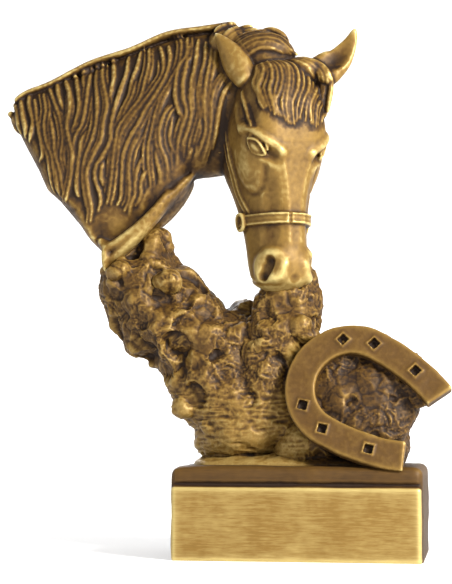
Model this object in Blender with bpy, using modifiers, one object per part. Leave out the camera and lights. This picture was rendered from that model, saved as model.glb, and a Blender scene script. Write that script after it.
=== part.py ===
"""Horse trophy: a resin award cast in one piece.

A bowed horse head with a combed mane grows out of a forked rock. A horseshoe leans on the
rock, and the whole stands on a rectangular plinth with a raised tablet on its front.
"""

import math

import bmesh
import bpy
import numpy as np
from mathutils import Matrix, Vector, noise
from mathutils.bvhtree import BVHTree

# Plinth, in metres
PLINTH_WIDTH = 0.0666
PLINTH_DEPTH = 0.0440
PLINTH_HEIGHT = 0.0247
PLINTH_ROUNDING = 0.0022

# Raised name tablet on the front of the plinth
TABLET_SIDE_MARGIN = 0.0003
TABLET_TOP_MARGIN = 0.0051
TABLET_PROUD = 0.0010
TABLET_BEVEL = 0.0007

# Height of the horse and rock above the plinth
FIGURE_HEIGHT = 0.1247

# Horseshoe: outline, thickness, how it leans on the rock, and the clearances that place it
SHOE_LENGTH = 0.0392
SHOE_WIDTH = 0.0352
SHOE_BRANCH = 0.0080
SHOE_THICKNESS = 0.0040
SHOE_EDGE = 0.0006
SHOE_WIDEST_AT = 0.44
SHOE_HEEL_ANGLE = math.radians(44.0)
SHOE_ROLL = math.radians(-29.5)
SHOE_LEAN = math.radians(17.0)
SHOE_ACROSS = 0.0140
SHOE_SETBACK = -0.0010
SHOE_SUNK = 0.0020
SEAT_DEPTH = 0.0130
SEAT_GRIP = 0.0018
SEAT_MARGIN = 0.0014
SHOE_STEPS = 22
NAIL_HOLE_SIZE = 0.0024
NAIL_HOLE_DEPTH = 0.0012
NAIL_HOLE_ANGLES = (65.0, 92.0, 129.0)

# Facets of the finished casting
FIGURE_VOXEL = 0.8
FIGURE_TRIANGLES = 8900

# The free forms below are in millimetres of a figure this tall, and grow with FIGURE_HEIGHT
FIGURE_UNITS = 124.7
FIGURE_SHIFT = -1.2

# Locks of hair: how many, and their radius in figure millimetres
MANE_LOCKS = 15
MANE_LOCK_ROUND = 2.7
CREST_LOCKS = 13
CREST_LOCK_ROUND = 2.0
FORELOCKS = 8
FORELOCK_ROUND = 1.7
TUFT_LOCKS = 6
TUFT_LOCK_ROUND = 2.4

# Head: its length, where the forehead's front line stands, and which way it looks
HEAD_LENGTH = 65.8
HEAD_TOP = 112.3
HEAD_FRONT = Vector((1.5, -14.0))
HEAD_YAW = math.radians(54.0)

# Share of the head's length, front line, rear line, half width, front narrowing, squareness
HEAD_STATIONS = (
    (0.00, -7.0, -20.0, 7.0, 0.00, 2.2),
    (0.08, -3.5, -24.0, 9.6, 0.00, 2.3),
    (0.18, -0.8, -28.0, 11.6, 0.00, 2.7),
    (0.28, 0.0, -30.0, 12.6, 0.00, 3.2),
    (0.38, -0.1, -31.0, 12.5, 0.00, 3.3),
    (0.48, -0.8, -28.5, 11.0, 0.10, 3.0),
    (0.58, -1.4, -24.0, 9.4, 0.25, 2.8),
    (0.69, -1.8, -20.2, 8.3, 0.33, 2.7),
    (0.80, -1.8, -18.5, 7.8, 0.28, 2.6),
    (0.90, -1.5, -17.6, 7.9, 0.12, 2.6),
    (0.96, -2.6, -17.2, 7.2, 0.00, 2.4),
    (1.00, -5.0, -14.0, 5.5, 0.00, 2.2),
)


def material(name, colour, roughness, metallic):
    """Antique gold paint as one Principled material."""
    made = bpy.data.materials.new(name)
    made.use_nodes = True
    shader = made.node_tree.nodes["Principled BSDF"]
    shader.inputs["Base Color"].default_value = (*colour, 1.0)
    shader.inputs["Roughness"].default_value = roughness
    shader.inputs["Metallic"].default_value = metallic
    made.diffuse_color = (*colour, 1.0)
    return made


def smooth_table(table, shares):
    """Read the columns of a table at the given shares along smooth curves."""
    keys = np.array([row[0] for row in table])
    values = np.array([row[1:] for row in table])
    slopes = np.gradient(values, keys, axis=0)
    shares = np.clip(np.asarray(shares, dtype=float), keys[0], keys[-1])
    left = np.clip(np.searchsorted(keys, shares, side="right") - 1, 0, len(keys) - 2)
    width = keys[left + 1] - keys[left]
    t = ((shares - keys[left]) / width)[:, None]
    width = width[:, None]
    rise = (2 * t**3 - 3 * t**2 + 1) * values[left] + (3 * t**2 - 2 * t**3) * values[left + 1]
    bend = (t**3 - 2 * t**2 + t) * slopes[left] + (t**3 - t**2) * slopes[left + 1]
    return rise + bend * width


def sphere_mesh(around, along):
    """A round ball to be moulded: its poles are the two ends of the form."""
    ball = bmesh.new()
    bmesh.ops.create_uvsphere(ball, u_segments=around, v_segments=along, radius=1.0)
    return ball


def ball_shares(ball):
    """Share along the axis and angle around it, for every vertex of a ball."""
    points = np.array([vertex.co for vertex in ball.verts])
    share = np.arccos(np.clip(points[:, 2], -1.0, 1.0)) / math.pi
    angle = np.arctan2(points[:, 1], points[:, 0])
    return share, angle


def set_points(ball, points):
    for vertex, point in zip(ball.verts, points):
        vertex.co = Vector(point)


def rounded_end(share, length):
    """Radius factor that closes both ends of a form with half circles."""
    from_end = np.minimum(share, 1.0 - share) / length
    return np.sqrt(np.clip(1.0 - (1.0 - np.clip(from_end, 0.0, 1.0)) ** 2, 0.0, 1.0))


def limb(stations, around=32, along=48, end=0.12, side=Vector((0.0, 1.0, 0.0))):
    """A smooth form along stations of x, y, z, half width and half depth.

    The half width lies in the picture plane, across the path, and the half depth lies along side.
    """
    ball = sphere_mesh(around, along)
    share, angle = ball_shares(ball)
    table = [(i / (len(stations) - 1), *row) for i, row in enumerate(stations)]
    row = smooth_table(table, share)
    step = 0.01
    tangent = smooth_table(table, share + step)[:, :3] - smooth_table(table, share - step)[:, :3]
    tangent /= np.linalg.norm(tangent, axis=1)[:, None] + 1e-9
    across = np.cross(tangent, np.array(side))
    across /= np.linalg.norm(across, axis=1)[:, None] + 1e-9
    deep = np.cross(across, tangent)
    close = rounded_end(share, end)
    offset = across * (row[:, 3] * close * np.cos(angle))[:, None]
    offset += deep * (row[:, 4] * close * np.sin(angle))[:, None]
    set_points(ball, row[:, :3] + offset)
    return ball


def blob(centre, radii, turn=0.0, around=20, along=14):
    """A ball squashed to three radii and turned in the picture plane."""
    ball = sphere_mesh(around, along)
    placed = Matrix.Translation(centre) @ Matrix.Rotation(turn, 4, "Y") @ Matrix.Diagonal((*radii, 1.0))
    bmesh.ops.transform(ball, matrix=placed, verts=ball.verts)
    return ball


def press(points, centre, radius, offset):
    """Move the points near a centre by an offset that fades out at the radius."""
    distance = np.linalg.norm(points - np.array(centre), axis=1) / radius
    weight = np.clip(1.0 - distance**2, 0.0, 1.0) ** 2
    points += weight[:, None] * np.array(offset)


def head_to_figure(points):
    """Turn height down the head, front and side into figure coordinates."""
    points = np.asarray(points, dtype=float)
    front = np.array((math.cos(HEAD_YAW), -math.sin(HEAD_YAW)))
    side = np.array((-math.sin(HEAD_YAW), -math.cos(HEAD_YAW)))
    placed = np.empty_like(points)
    placed[:, :2] = np.array(HEAD_FRONT) + points[:, 1:2] * front + points[:, 2:3] * side
    placed[:, 2] = HEAD_TOP - points[:, 0]
    return placed


def cheek_point(down, front, cheek, lift=0.0):
    """The skull's surface at a height and front place, raised by lift, and its outward way."""
    front_line, rear_line, half, narrow, square = smooth_table(HEAD_STATIONS, [down / HEAD_LENGTH])[0]
    centre = (front_line + rear_line) / 2.0
    depth = (front_line - rear_line) / 2.0
    along = min(0.98, max(-0.98, (front - centre) / depth))
    across = (1.0 - abs(along) ** square) ** (1.0 / square)
    side = half * (1.0 - narrow * along) * across
    slope_front = math.copysign(abs(along) ** (square - 1.0), along) / depth
    slope_side = across ** (square - 1.0) / half
    outward = np.array((0.0, slope_front, slope_side))
    outward /= np.linalg.norm(outward)
    point = np.array((down, front, side)) + outward * lift
    return point * (1.0, 1.0, cheek), outward * (1.0, 1.0, cheek)


def along_path(path, share):
    """A place on a path of any number of values, read smoothly."""
    table = [(i / (len(path) - 1), *row) for i, row in enumerate(path)]
    return smooth_table(table, [share])[0]


def stroke(points, path, radius, lift):
    """Raise or sink both cheeks along a path of height and front places."""
    dabs = 3 * len(path)
    for cheek in (1.0, -1.0):
        for i in range(dabs):
            down, front = along_path(path, i / (dabs - 1)) if len(path) > 1 else path[0]
            centre, outward = cheek_point(down, front, cheek)
            press(points, centre, radius, outward * lift * (1.0 if len(path) == 1 else 0.45))


def head_skull(around=96, along=110):
    """The head without its small parts, moulded from stations and pressed into shape."""
    ball = sphere_mesh(around, along)
    share, angle = ball_shares(ball)
    down = (1.0 - np.cos(share * math.pi)) / 2.0
    front, rear, half, narrow, square = smooth_table(HEAD_STATIONS, down).T
    close = rounded_end(down, 0.06)
    centre = (front + rear) / 2.0
    depth = (front - rear) / 2.0 * close
    bend = 2.0 / square
    along_front = np.sign(np.cos(angle)) * np.abs(np.cos(angle)) ** bend
    along_side = np.sign(np.sin(angle)) * np.abs(np.sin(angle)) ** bend
    points = np.empty((len(ball.verts), 3))
    points[:, 0] = down * HEAD_LENGTH
    points[:, 1] = centre + depth * along_front
    points[:, 2] = half * close * (1.0 - narrow * along_front) * along_side
    # Temple hollow, brow and socket
    stroke(points, ((15.0, -6.5), (19.5, -6.0)), 4.5, -1.6)
    stroke(points, ((20.5, -9.5), (21.5, -5.5), (24.5, -2.0), (28.5, 0.0)), 2.6, 1.3)
    stroke(points, ((24.5, -6.0), (26.5, -3.6), (29.0, -1.6)), 3.2, -1.4)
    # Cheek plate with its rim, and the hollow between it and the nose
    stroke(points, ((28.0, -10.5), (34.5, -10.0)), 6.5, 0.9)
    stroke(points, ((25.0, -15.5), (31.0, -15.8), (36.0, -13.5), (38.5, -9.5)), 2.2, -0.9)
    stroke(points, ((38.0, -7.5), (33.5, -4.8), (30.5, -4.0)), 2.2, -0.8)
    stroke(points, ((33.0, -3.2), (42.0, -4.5), (52.0, -5.5)), 4.2, -0.8)
    # Throat side of the jaw, nostrils, lips and chin
    press(points, (47.0, -23.0, 0.0), 7.0, (0.0, 2.4, 0.0))
    stroke(points, ((55.5, -3.0), (54.8, -5.5), (57.0, -8.5), (61.0, -8.5)), 3.2, 1.2)
    stroke(points, ((58.5, -2.2), (61.5, -3.5)), 3.2, 0.9)
    stroke(points, ((57.4, -4.3), (59.5, -4.6), (61.4, -5.6)), 2.1, -3.4)
    stroke(points, ((63.3, -6.0), (62.8, -12.0), (60.0, -17.0)), 1.8, -0.9)
    press(points, (61.5, -17.5, 0.0), 6.0, (0.5, -1.6, 0.0))
    set_points(ball, head_to_figure(points))
    return ball


def cheek_limb(path, cheek, around=12, along=40, end=0.12):
    """A strip on the cheek: rows of height, front, lift, half width and half depth."""
    stations = []
    ways = []
    for down, front, lift, width, depth in path:
        point, outward = cheek_point(down, front, cheek, lift)
        stations.append((*head_to_figure([point])[0], width, depth))
        origin, tip = head_to_figure([(0.0, 0.0, 0.0), outward])
        ways.append(tip - origin)
    side = Vector(np.mean(ways, axis=0)).normalized()
    return limb(stations, around=around, along=along, end=end, side=side)


def eyes():
    """Almond eyeballs, each between an upper and a lower lid."""
    forms = []
    rear = np.array((23.9, -6.8))
    fore = np.array((29.2, -1.2))
    for cheek in (1.0, -1.0):
        ball = []
        lids = ([], [])
        for i in range(7):
            share = i / 6.0
            place = rear + (fore - rear) * share
            swell = math.sin(math.pi * share)
            ball.append((*place, -0.5, 0.3 + 1.5 * swell, 0.4 + 1.1 * swell))
            upper = place + np.array((-1.5, 1.1)) * swell * 1.15
            lower = place + np.array((1.5, -1.1)) * swell * 0.95
            lids[0].append((*upper, 0.2, 0.62, 0.75))
            lids[1].append((*lower, 0.1, 0.5, 0.6))
        forms.append(cheek_limb(ball, cheek, around=16, along=32))
        forms += [cheek_limb(lid, cheek) for lid in lids]
    return forms


def noseband():
    """The strap around the nose, its side rings and the cheek straps."""
    forms = []
    down = 45.4
    around = []
    for cheek, order in ((1.0, 1), (-1.0, -1)):
        fronts = [-1.8 - 19.2 * (0.5 - 0.5 * math.cos(math.pi * i / 12.0)) for i in range(13)]
        for front in fronts[::order]:
            point, outward = cheek_point(down, front, cheek, 0.1)
            around.append((*head_to_figure([point])[0], 1.0, 1.5))
    around.append(around[0])
    forms.append(limb(around, around=12, along=110, end=0.005, side=Vector((0.0, 0.0, 1.0))))
    for cheek in (1.0, -1.0):
        ring = []
        for i in range(13):
            angle = 2.0 * math.pi * i / 12
            place = (45.8 + 2.1 * math.cos(angle), -14.2 + 1.7 * math.sin(angle))
            ring.append((*place, 1.1, 0.8, 0.8))
        forms.append(cheek_limb(ring, cheek, around=10, end=0.01))
        strap = []
        for place in ((43.0, -13.0), (38.0, -15.8), (32.0, -17.2), (26.5, -17.8), (18.8, -18.5), (12.0, -17.0)):
            strap.append((*place, 0.2, 1.1, 0.7))
        forms.append(cheek_limb(strap, cheek))
    return forms


def ear(base, tip, bow, widths, half_depth, opening):
    """A cupped ear from its base to its tip, hollowed on the side that it opens to."""
    base = np.array(base)
    tip = np.array(tip)
    bow = np.array(bow)
    stations = [
        (*base, widths[0], half_depth),
        (*(base * 0.72 + tip * 0.28 + bow * 0.6), widths[1], half_depth),
        (*((base + tip) / 2.0 + bow), widths[2], half_depth * 0.8),
        (*(base * 0.22 + tip * 0.78 + bow * 0.7), widths[3], half_depth * 0.5),
        (*tip, widths[4], half_depth * 0.25),
    ]
    ball = limb(stations, around=40, along=40, end=0.08, side=Vector(opening))
    points = np.array([vertex.co for vertex in ball.verts])
    opening = np.array(Vector(opening).normalized())
    for share, depth in ((0.28, 0.6), (0.42, 0.8), (0.56, 0.7), (0.7, 0.5)):
        row = smooth_table([(i / 4.0, *s[:3]) for i, s in enumerate(stations)], [share])[0]
        press(points, row + opening * half_depth, widths[1] * 0.95, -opening * half_depth * depth)
    set_points(ball, points)
    return ball


def ears():
    near_widths = (2.6, 3.9, 3.5, 1.9, 0.5)
    far_widths = (5.0, 4.9, 3.7, 2.1, 0.6)
    near = ear((-12.6, -9.5, 104.2), (-22.6, -6.5, 120.0), (0.0, 0.0, 1.0), near_widths, 3.2, (0.25, 0.95, -0.1))
    far = ear((5.2, -4.0, 107.4), (16.3, -2.5, 120.9), (1.1, 0.0, -1.9), far_widths, 3.0, (0.1, -0.95, 0.3))
    return [near, far]


def neck():
    """The neck without its mane, thin at the crest and round at the throat."""
    stations = (
        (-8.0, 3.0, 103.5, 14.0, 9.5),
        (-22.2, 3.0, 102.1, 20.3, 12.0),
        (-38.9, 2.5, 98.6, 20.6, 12.5),
        (-53.5, 2.0, 88.3, 26.0, 13.0),
        (-71.6, 1.5, 79.5, 27.2, 11.5),
    )
    ball = limb(stations, around=72, along=64, end=0.05)
    points = np.array([vertex.co for vertex in ball.verts])
    # Thin the crest, which lies up and to the left of the neck's own line
    line = np.array([(row[0], row[2]) for row in stations])
    start = line[1]
    along = (line[-1] - line[1]) / np.linalg.norm(line[-1] - line[1])
    upward = np.array((along[1], -along[0]))
    rise = (points[:, [0, 2]] - start) @ upward
    thin = 1.0 - 0.45 * np.clip(rise / 26.0, 0.0, 1.0) ** 1.5
    points[:, 1] = 2.5 + (points[:, 1] - 2.5) * thin
    # The far end leaves its straight cut and follows the outline of the mane's hem
    pivot = -45.0
    straight = -60.9 - 0.428 * (points[:, 2] - 54.5)
    outline = np.interp(points[:, 2], [row[0] for row in NECK_END], [row[1] for row in NECK_END])
    share = (pivot - points[:, 0]) / (pivot - straight)
    points[:, 0] = np.where(share > 0.0, pivot - share * (pivot - outline), points[:, 0])
    set_points(ball, points)
    return ball


def throat_bands():
    """The two rolled edges where the neck ends above the rock."""
    outer = (
        (-55.0, -5.0, 61.8, 1.6, 3.4),
        (-51.8, -7.8, 60.2, 1.7, 3.6),
        (-44.2, -8.8, 65.2, 1.6, 3.6),
        (-38.8, -8.6, 70.4, 1.5, 3.4),
        (-34.5, -7.0, 76.0, 1.3, 3.0),
    )
    inner = (
        (-54.0, -5.5, 53.5, 1.7, 3.6),
        (-48.5, -7.5, 57.5, 1.8, 3.8),
        (-42.5, -8.4, 62.6, 1.7, 3.8),
        (-38.0, -8.0, 67.6, 1.6, 3.6),
        (-34.6, -7.0, 72.4, 1.5, 3.4),
        (-27.6, -4.0, 80.4, 1.4, 3.2),
    )
    return [limb(outer, around=16, along=40), limb(inner, around=16, along=40)]


def figure_stand():
    """From figure millimetres to metres on top of the plinth."""
    scale = FIGURE_HEIGHT / FIGURE_UNITS
    stand = Matrix.Translation((FIGURE_SHIFT * scale, 0.0, PLINTH_HEIGHT))
    return stand @ Matrix.Scale(scale, 4)


def rock_mass():
    """The forked rock: a stem, an arm under the neck, an arm behind the muzzle, and a foot."""
    left_arm = (
        (-13.6, 1.0, 1.0, 16.4, 15.0),
        (-16.2, 1.0, 14.0, 13.8, 14.0),
        (-23.0, 1.0, 24.0, 14.3, 13.5),
        (-28.4, 1.0, 33.5, 13.0, 13.0),
        (-37.8, 1.5, 41.5, 14.5, 12.5),
        (-44.4, 2.0, 51.0, 12.8, 12.0),
        (-46.8, 2.0, 62.0, 9.6, 10.5),
    )
    right_arm = (
        (-10.0, 1.0, 3.0, 15.0, 14.0),
        (-9.0, 1.0, 20.0, 12.5, 13.5),
        (-5.5, 0.5, 35.0, 10.8, 12.5),
        (-2.0, 0.0, 46.0, 9.2, 10.5),
        (0.8, 0.5, 52.5, 4.8, 7.5),
        (1.4, 1.0, 56.0, 2.2, 5.0),
    )
    foot = (
        (-6.0, 1.0, 3.0, 6.5, 15.5),
        (6.0, 0.0, 7.0, 9.0, 14.0),
        (16.0, 0.5, 12.0, 13.0, 11.5),
        (25.0, 2.0, 13.0, 9.5, 10.5),
    )
    skirt = (
        (-29.5, 1.0, 0.0, 2.2, 13.0),
        (-10.0, 1.0, 0.2, 3.0, 16.5),
        (10.0, 1.0, 0.2, 3.0, 16.0),
        (28.0, 2.0, 0.0, 2.4, 12.0),
    )
    forms = [limb(left_arm, end=0.1), limb(right_arm, end=0.1), limb(foot, end=0.2), limb(skirt, end=0.1)]
    forms.append(blob((21.0, 2.5, 20.0), (11.0, 9.5, 14.0), 0.5))
    forms.append(blob((12.5, 1.5, 25.0), (12.0, 10.5, 12.5), 0.2))
    forms.append(blob((-18.5, 1.0, 34.0), (10.0, 10.5, 9.5)))
    forms.append(blob((17.0, 2.0, 31.5), (9.0, 7.0, 4.6), 0.35))
    forms.append(blob((23.6, 2.0, 6.0), (6.6, 9.0, 9.0)))
    return forms


def rock_lumps():
    """Knobs and ledges all over the rock, from a fixed seed."""
    rng = np.random.default_rng(11)
    forms = []
    spines = (
        ((-12.0, 4.0), (-44.0, 58.0), 15.5, 30),
        ((-10.0, 6.0), (0.0, 50.0), 12.5, 16),
        ((-2.0, 8.0), (26.0, 22.0), 11.0, 14),
    )
    for start, end, spread, count in spines:
        for side in (-1.0, 1.0):
            for _ in range(count // 2):
                share = rng.uniform(0.15, 1.0)
                reach = rng.uniform(-0.72, 0.7) * spread
                heading = Vector((end[0] - start[0], end[1] - start[1])).normalized()
                x = start[0] + (end[0] - start[0]) * share + heading.y * reach
                z = start[1] + (end[1] - start[1]) * share - heading.x * reach
                y = 1.0 + side * 12.0 * math.sqrt(max(0.05, 1.0 - (reach / spread) ** 2))
                size = rng.uniform(2.4, 4.6)
                flat = rng.uniform(0.55, 0.9)
                forms.append(blob((x, y, z), (size, size * 0.8, size * flat), rng.uniform(-0.6, 0.6), 12, 8))
    return forms


# Outline of the neck's far end: height and side place
NECK_END = (
    (50.0, -54.5),
    (58.0, -56.0),
    (63.0, -60.0),
    (71.0, -64.0),
    (77.0, -70.8),
    (84.5, -73.4),
    (92.5, -78.2),
    (98.0, -82.2),
    (104.0, -83.5),
)

# Mane: where each lock springs from the crest and where it ends, from the poll to the far end
MANE_ROOTS = (
    (0.00, -17.7, 124.0),
    (0.13, -26.6, 122.9),
    (0.26, -36.7, 121.8),
    (0.42, -48.3, 117.4),
    (0.58, -60.0, 114.0),
    (0.74, -71.7, 108.3),
    (0.88, -79.5, 105.4),
    (1.00, -84.0, 101.5),
)
MANE_TIPS = (
    (0.00, -22.7, 87.0),
    (0.13, -28.8, 80.0),
    (0.20, -32.5, 76.0),
    (0.26, -36.7, 72.0),
    (0.30, -40.0, 69.8),
    (0.34, -44.0, 67.5),
    (0.38, -48.5, 68.5),
    (0.42, -53.5, 67.5),
    (0.50, -58.0, 68.5),
    (0.58, -61.5, 71.8),
    (0.74, -65.5, 74.6),
    (0.88, -74.0, 84.0),
    (1.00, -83.0, 97.0),
)


def mane_path(place, bow, wave, points=9):
    """A combed lock in the picture plane: a line from crest to hem with an S bend."""
    root = smooth_table(MANE_ROOTS, [place])[0]
    tip = smooth_table(MANE_TIPS, [place])[0]
    run = tip - root
    across = np.array((run[1], -run[0])) / (np.linalg.norm(run) + 1e-9)
    path = []
    for i in range(points):
        t = i / (points - 1)
        offset = bow * math.sin(math.pi * t) - wave * math.sin(2.0 * math.pi * t)
        path.append(root + run * t + across * offset)
    return path


def tree_of(forms):
    """A ray tree over several forms."""
    whole = bmesh.new()
    for form in forms:
        scrap = bpy.data.meshes.new("scrap")
        form.to_mesh(scrap)
        whole.from_mesh(scrap)
        bpy.data.meshes.remove(scrap)
    tree = BVHTree.FromBMesh(whole)
    whole.free()
    return tree


def laid_lock(tree, path, radius, sink=0.0, side=-1.0, depth_share=0.85):
    """A tapered lock laid on the surface below a path in the picture plane."""
    stations = []
    level = None
    for i, (x, z) in enumerate(path):
        t = i / (len(path) - 1)
        hit = tree.ray_cast(Vector((x, side * 80.0, z)), Vector((0.0, -side, 0.0)))
        if hit[0] is not None:
            level = hit[0].y
        elif level is None:
            level = tree.find_nearest(Vector((x, side * 6.0, z)))[0].y
        swell = 0.55 + 0.45 * math.sin(math.pi * min(1.0, 0.15 + 0.8 * t))
        thick = radius * swell
        stations.append((x, level - side * thick * sink, z, thick, thick * depth_share))
    return limb(stations, around=14, along=5 * len(path), end=0.08)


def mane(tree, count, radius):
    """Locks combed from the crest over the near side of the neck."""
    rng = np.random.default_rng(5)
    forms = []
    for i in range(count):
        place = (i + 0.5) / count
        fade = 1.0 - 0.85 * place
        bow = (2.4 + rng.uniform(-0.6, 0.6)) * fade - 0.8 * place
        wave = (2.6 + rng.uniform(-0.7, 0.7)) * fade
        path = mane_path(place, bow, wave)
        forms.append(laid_lock(tree, path, radius * rng.uniform(0.85, 1.15)))
    return forms


def crest_locks(tree, count, radius):
    """Short locks that roll over the crest to the far side."""
    rng = np.random.default_rng(8)
    forms = []
    for i in range(count):
        place = (i + 0.3) / count
        root = smooth_table(MANE_ROOTS, [place])[0]
        length = rng.uniform(9.0, 15.0) * (1.0 - 0.5 * place)
        path = [root + np.array((-0.5 * t, -length * t)) for t in np.linspace(0.0, 1.0, 5)]
        forms.append(laid_lock(tree, path, radius, side=1.0))
    return forms


def forelock(tree, count, radius):
    """Locks that fall between the ears over the forehead."""
    forms = []
    rng = np.random.default_rng(3)
    for i in range(count):
        share = i / (count - 1)
        root = np.array((-7.0 + 9.5 * share, 111.0 + 1.0 * math.sin(math.pi * share)))
        tip = np.array((-10.0 + 19.5 * share, 94.0 - 4.0 * math.sin(math.pi * share) + rng.uniform(-2.0, 2.0)))
        path = []
        for t in np.linspace(0.0, 1.0, 6):
            path.append(root + (tip - root) * t + np.array((1.0 * math.sin(math.pi * t), 0.0)))
        forms.append(laid_lock(tree, path, radius))
    return forms


def poll_tuft(count, radius):
    """Locks swept back over the poll from between the ears."""
    forms = []
    for i in range(count):
        share = i / (count - 1.0)
        stations = []
        for t in np.linspace(0.0, 1.0, 6):
            x = 2.5 - 2.0 * share - (17.0 + 4.0 * share) * t
            z = 108.8 + 1.7 * share + (10.9 + 2.6 * share) * math.sin(1.75 * t)
            y = -9.5 + 13.0 * share + 3.0 * t
            stations.append((x, y, z, radius, radius))
        forms.append(limb(stations, around=12, along=30))
    forms.append(blob((-10.0, -1.0, 113.5), (12.5, 8.5, 8.0), 0.1))
    return forms


def join(forms):
    """One mesh from many overlapping forms."""
    whole = bmesh.new()
    for form in forms:
        scrap = bpy.data.meshes.new("scrap")
        form.to_mesh(scrap)
        form.free()
        whole.from_mesh(scrap)
        bpy.data.meshes.remove(scrap)
    return whole


def evaluated(owner):
    """Bake an object's modifiers into its mesh."""
    graph = bpy.context.evaluated_depsgraph_get()
    baked = bpy.data.meshes.new_from_object(owner.evaluated_get(graph))
    old = owner.data
    owner.modifiers.clear()
    owner.data = baked
    bpy.data.meshes.remove(old)


def weather(points, normals, amount):
    """Roughen the rock below the neck with lumps and ledges."""
    moved = points.copy()
    for i, (point, normal) in enumerate(zip(points, normals)):
        x, y, z = point
        upper = 66.0 if x < -22.0 else 52.0
        rock = min(1.0, max(0.0, (upper - z) / 6.0)) * min(1.0, max(0.0, (z - 1.0) / 3.0))
        if x > -16.0 and z > 48.0:
            rock = 0.0
        if rock <= 0.0:
            continue
        place = Vector((x, y, z))
        lumps = noise.noise(place * 0.16) * 1.4 + noise.noise(place * 0.34) * 0.9
        ledges = noise.noise(Vector((x * 0.12, y * 0.12, z * 0.55))) * 0.8
        moved[i] = point + normal * (lumps + ledges) * amount * rock
    return moved


def figure_mesh(collection):
    """Horse and rock as one closed skin, in metres, standing a little into the plinth."""
    skull = head_skull()
    body = neck()
    bare = [skull, body]
    tree = tree_of(bare)
    forms = bare + eyes() + noseband() + ears() + throat_bands()
    forms += mane(tree, MANE_LOCKS, MANE_LOCK_ROUND)
    forms += crest_locks(tree, CREST_LOCKS, CREST_LOCK_ROUND)
    forms += forelock(tree, FORELOCKS, FORELOCK_ROUND)
    forms += poll_tuft(TUFT_LOCKS, TUFT_LOCK_ROUND)
    forms += rock_mass() + rock_lumps() + shoe_seat()
    whole = join(forms)
    mesh = bpy.data.meshes.new("figure")
    whole.to_mesh(mesh)
    whole.free()
    figure = bpy.data.objects.new("figure", mesh)
    collection.objects.link(figure)
    skin = figure.modifiers.new("skin", "REMESH")
    skin.mode = "VOXEL"
    skin.voxel_size = FIGURE_VOXEL
    soft = figure.modifiers.new("soft", "SMOOTH")
    soft.factor = 0.5
    soft.iterations = 2
    evaluated(figure)
    keep_largest(figure.data)
    count = len(figure.data.vertices)
    points = np.empty(count * 3)
    normals = np.empty(count * 3)
    figure.data.vertices.foreach_get("co", points)
    figure.data.vertices.foreach_get("normal", normals)
    points = weather(points.reshape(-1, 3), normals.reshape(-1, 3), 1.0)
    figure.data.vertices.foreach_set("co", points.ravel())
    triangles = sum(len(face.vertices) - 2 for face in figure.data.polygons)
    thin = figure.modifiers.new("facets", "DECIMATE")
    thin.ratio = FIGURE_TRIANGLES / triangles
    evaluated(figure)
    figure.data.transform(figure_stand())
    return figure


def keep_largest(mesh):
    """Drop closed scraps that the skin left apart from the main body."""
    whole = bmesh.new()
    whole.from_mesh(mesh)
    seen = set()
    groups = []
    for vertex in whole.verts:
        if vertex in seen:
            continue
        group = []
        waiting = [vertex]
        seen.add(vertex)
        while waiting:
            current = waiting.pop()
            group.append(current)
            for edge in current.link_edges:
                other = edge.other_vert(current)
                if other not in seen:
                    seen.add(other)
                    waiting.append(other)
        groups.append(group)
    groups.sort(key=len)
    scraps = [vertex for group in groups[:-1] for vertex in group]
    bmesh.ops.delete(whole, geom=scraps, context="VERTS")
    whole.to_mesh(mesh)
    whole.free()


def box(name, collection, size, centre):
    """A box object of the given size around a centre."""
    form = bmesh.new()
    bmesh.ops.create_cube(form, size=1.0)
    place = Matrix.Translation(centre) @ Matrix.Diagonal((*size, 1.0))
    bmesh.ops.transform(form, matrix=place, verts=form.verts)
    mesh = bpy.data.meshes.new(name)
    form.to_mesh(mesh)
    form.free()
    made = bpy.data.objects.new(name, mesh)
    collection.objects.link(made)
    return made


def bevel(owner, width, segments):
    edge = owner.modifiers.new("edges", "BEVEL")
    edge.width = width
    edge.segments = segments
    edge.limit_method = "ANGLE"
    edge.angle_limit = math.radians(40.0)
    return edge


def boolean(owner, other, operation):
    """Join or cut with an exact Boolean and bake it."""
    step = owner.modifiers.new(operation.lower(), "BOOLEAN")
    step.operation = operation
    step.object = other
    step.solver = "EXACT"
    evaluated(owner)


def plinth(collection, cutters):
    """The plinth with its raised tablet and a flat underside."""
    size = (PLINTH_WIDTH, PLINTH_DEPTH, PLINTH_HEIGHT * 2.0)
    body = box("horse_trophy", collection, size, (0.0, 0.0, 0.0))
    bevel(body, PLINTH_ROUNDING, 3)
    evaluated(body)
    floor_size = (PLINTH_WIDTH * 2.0, PLINTH_DEPTH * 2.0, PLINTH_HEIGHT * 3.0)
    below = box("below_floor", cutters, floor_size, (0.0, 0.0, -floor_size[2] / 2.0))
    boolean(body, below, "DIFFERENCE")
    width = PLINTH_WIDTH - 2.0 * TABLET_SIDE_MARGIN
    height = PLINTH_HEIGHT - TABLET_TOP_MARGIN
    depth = TABLET_PROUD * 3.0
    front = -PLINTH_DEPTH / 2.0 - TABLET_PROUD + depth / 2.0
    tablet = box("tablet", cutters, (width, depth, height), (0.0, front, height / 2.0))
    bevel(tablet, TABLET_BEVEL, 1)
    boolean(body, tablet, "UNION")
    boolean(body, below, "DIFFERENCE")
    return body


def shoe_line(turn):
    """Centre of the branch and its outward way, at an angle around from the open side."""
    middle = (SHOE_WIDTH - SHOE_BRANCH) / 2.0
    widest = SHOE_LENGTH * SHOE_WIDEST_AT
    along = math.cos(turn)
    reach = widest - SHOE_BRANCH / 2.0
    if along > 0.0:
        reach = (SHOE_LENGTH - widest) / math.cos(SHOE_HEEL_ANGLE)
    centre = Vector((along * reach, 0.0, math.sin(turn) * middle))
    outward = Vector((along * middle, 0.0, math.sin(turn) * reach)).normalized()
    return centre, outward


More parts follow.
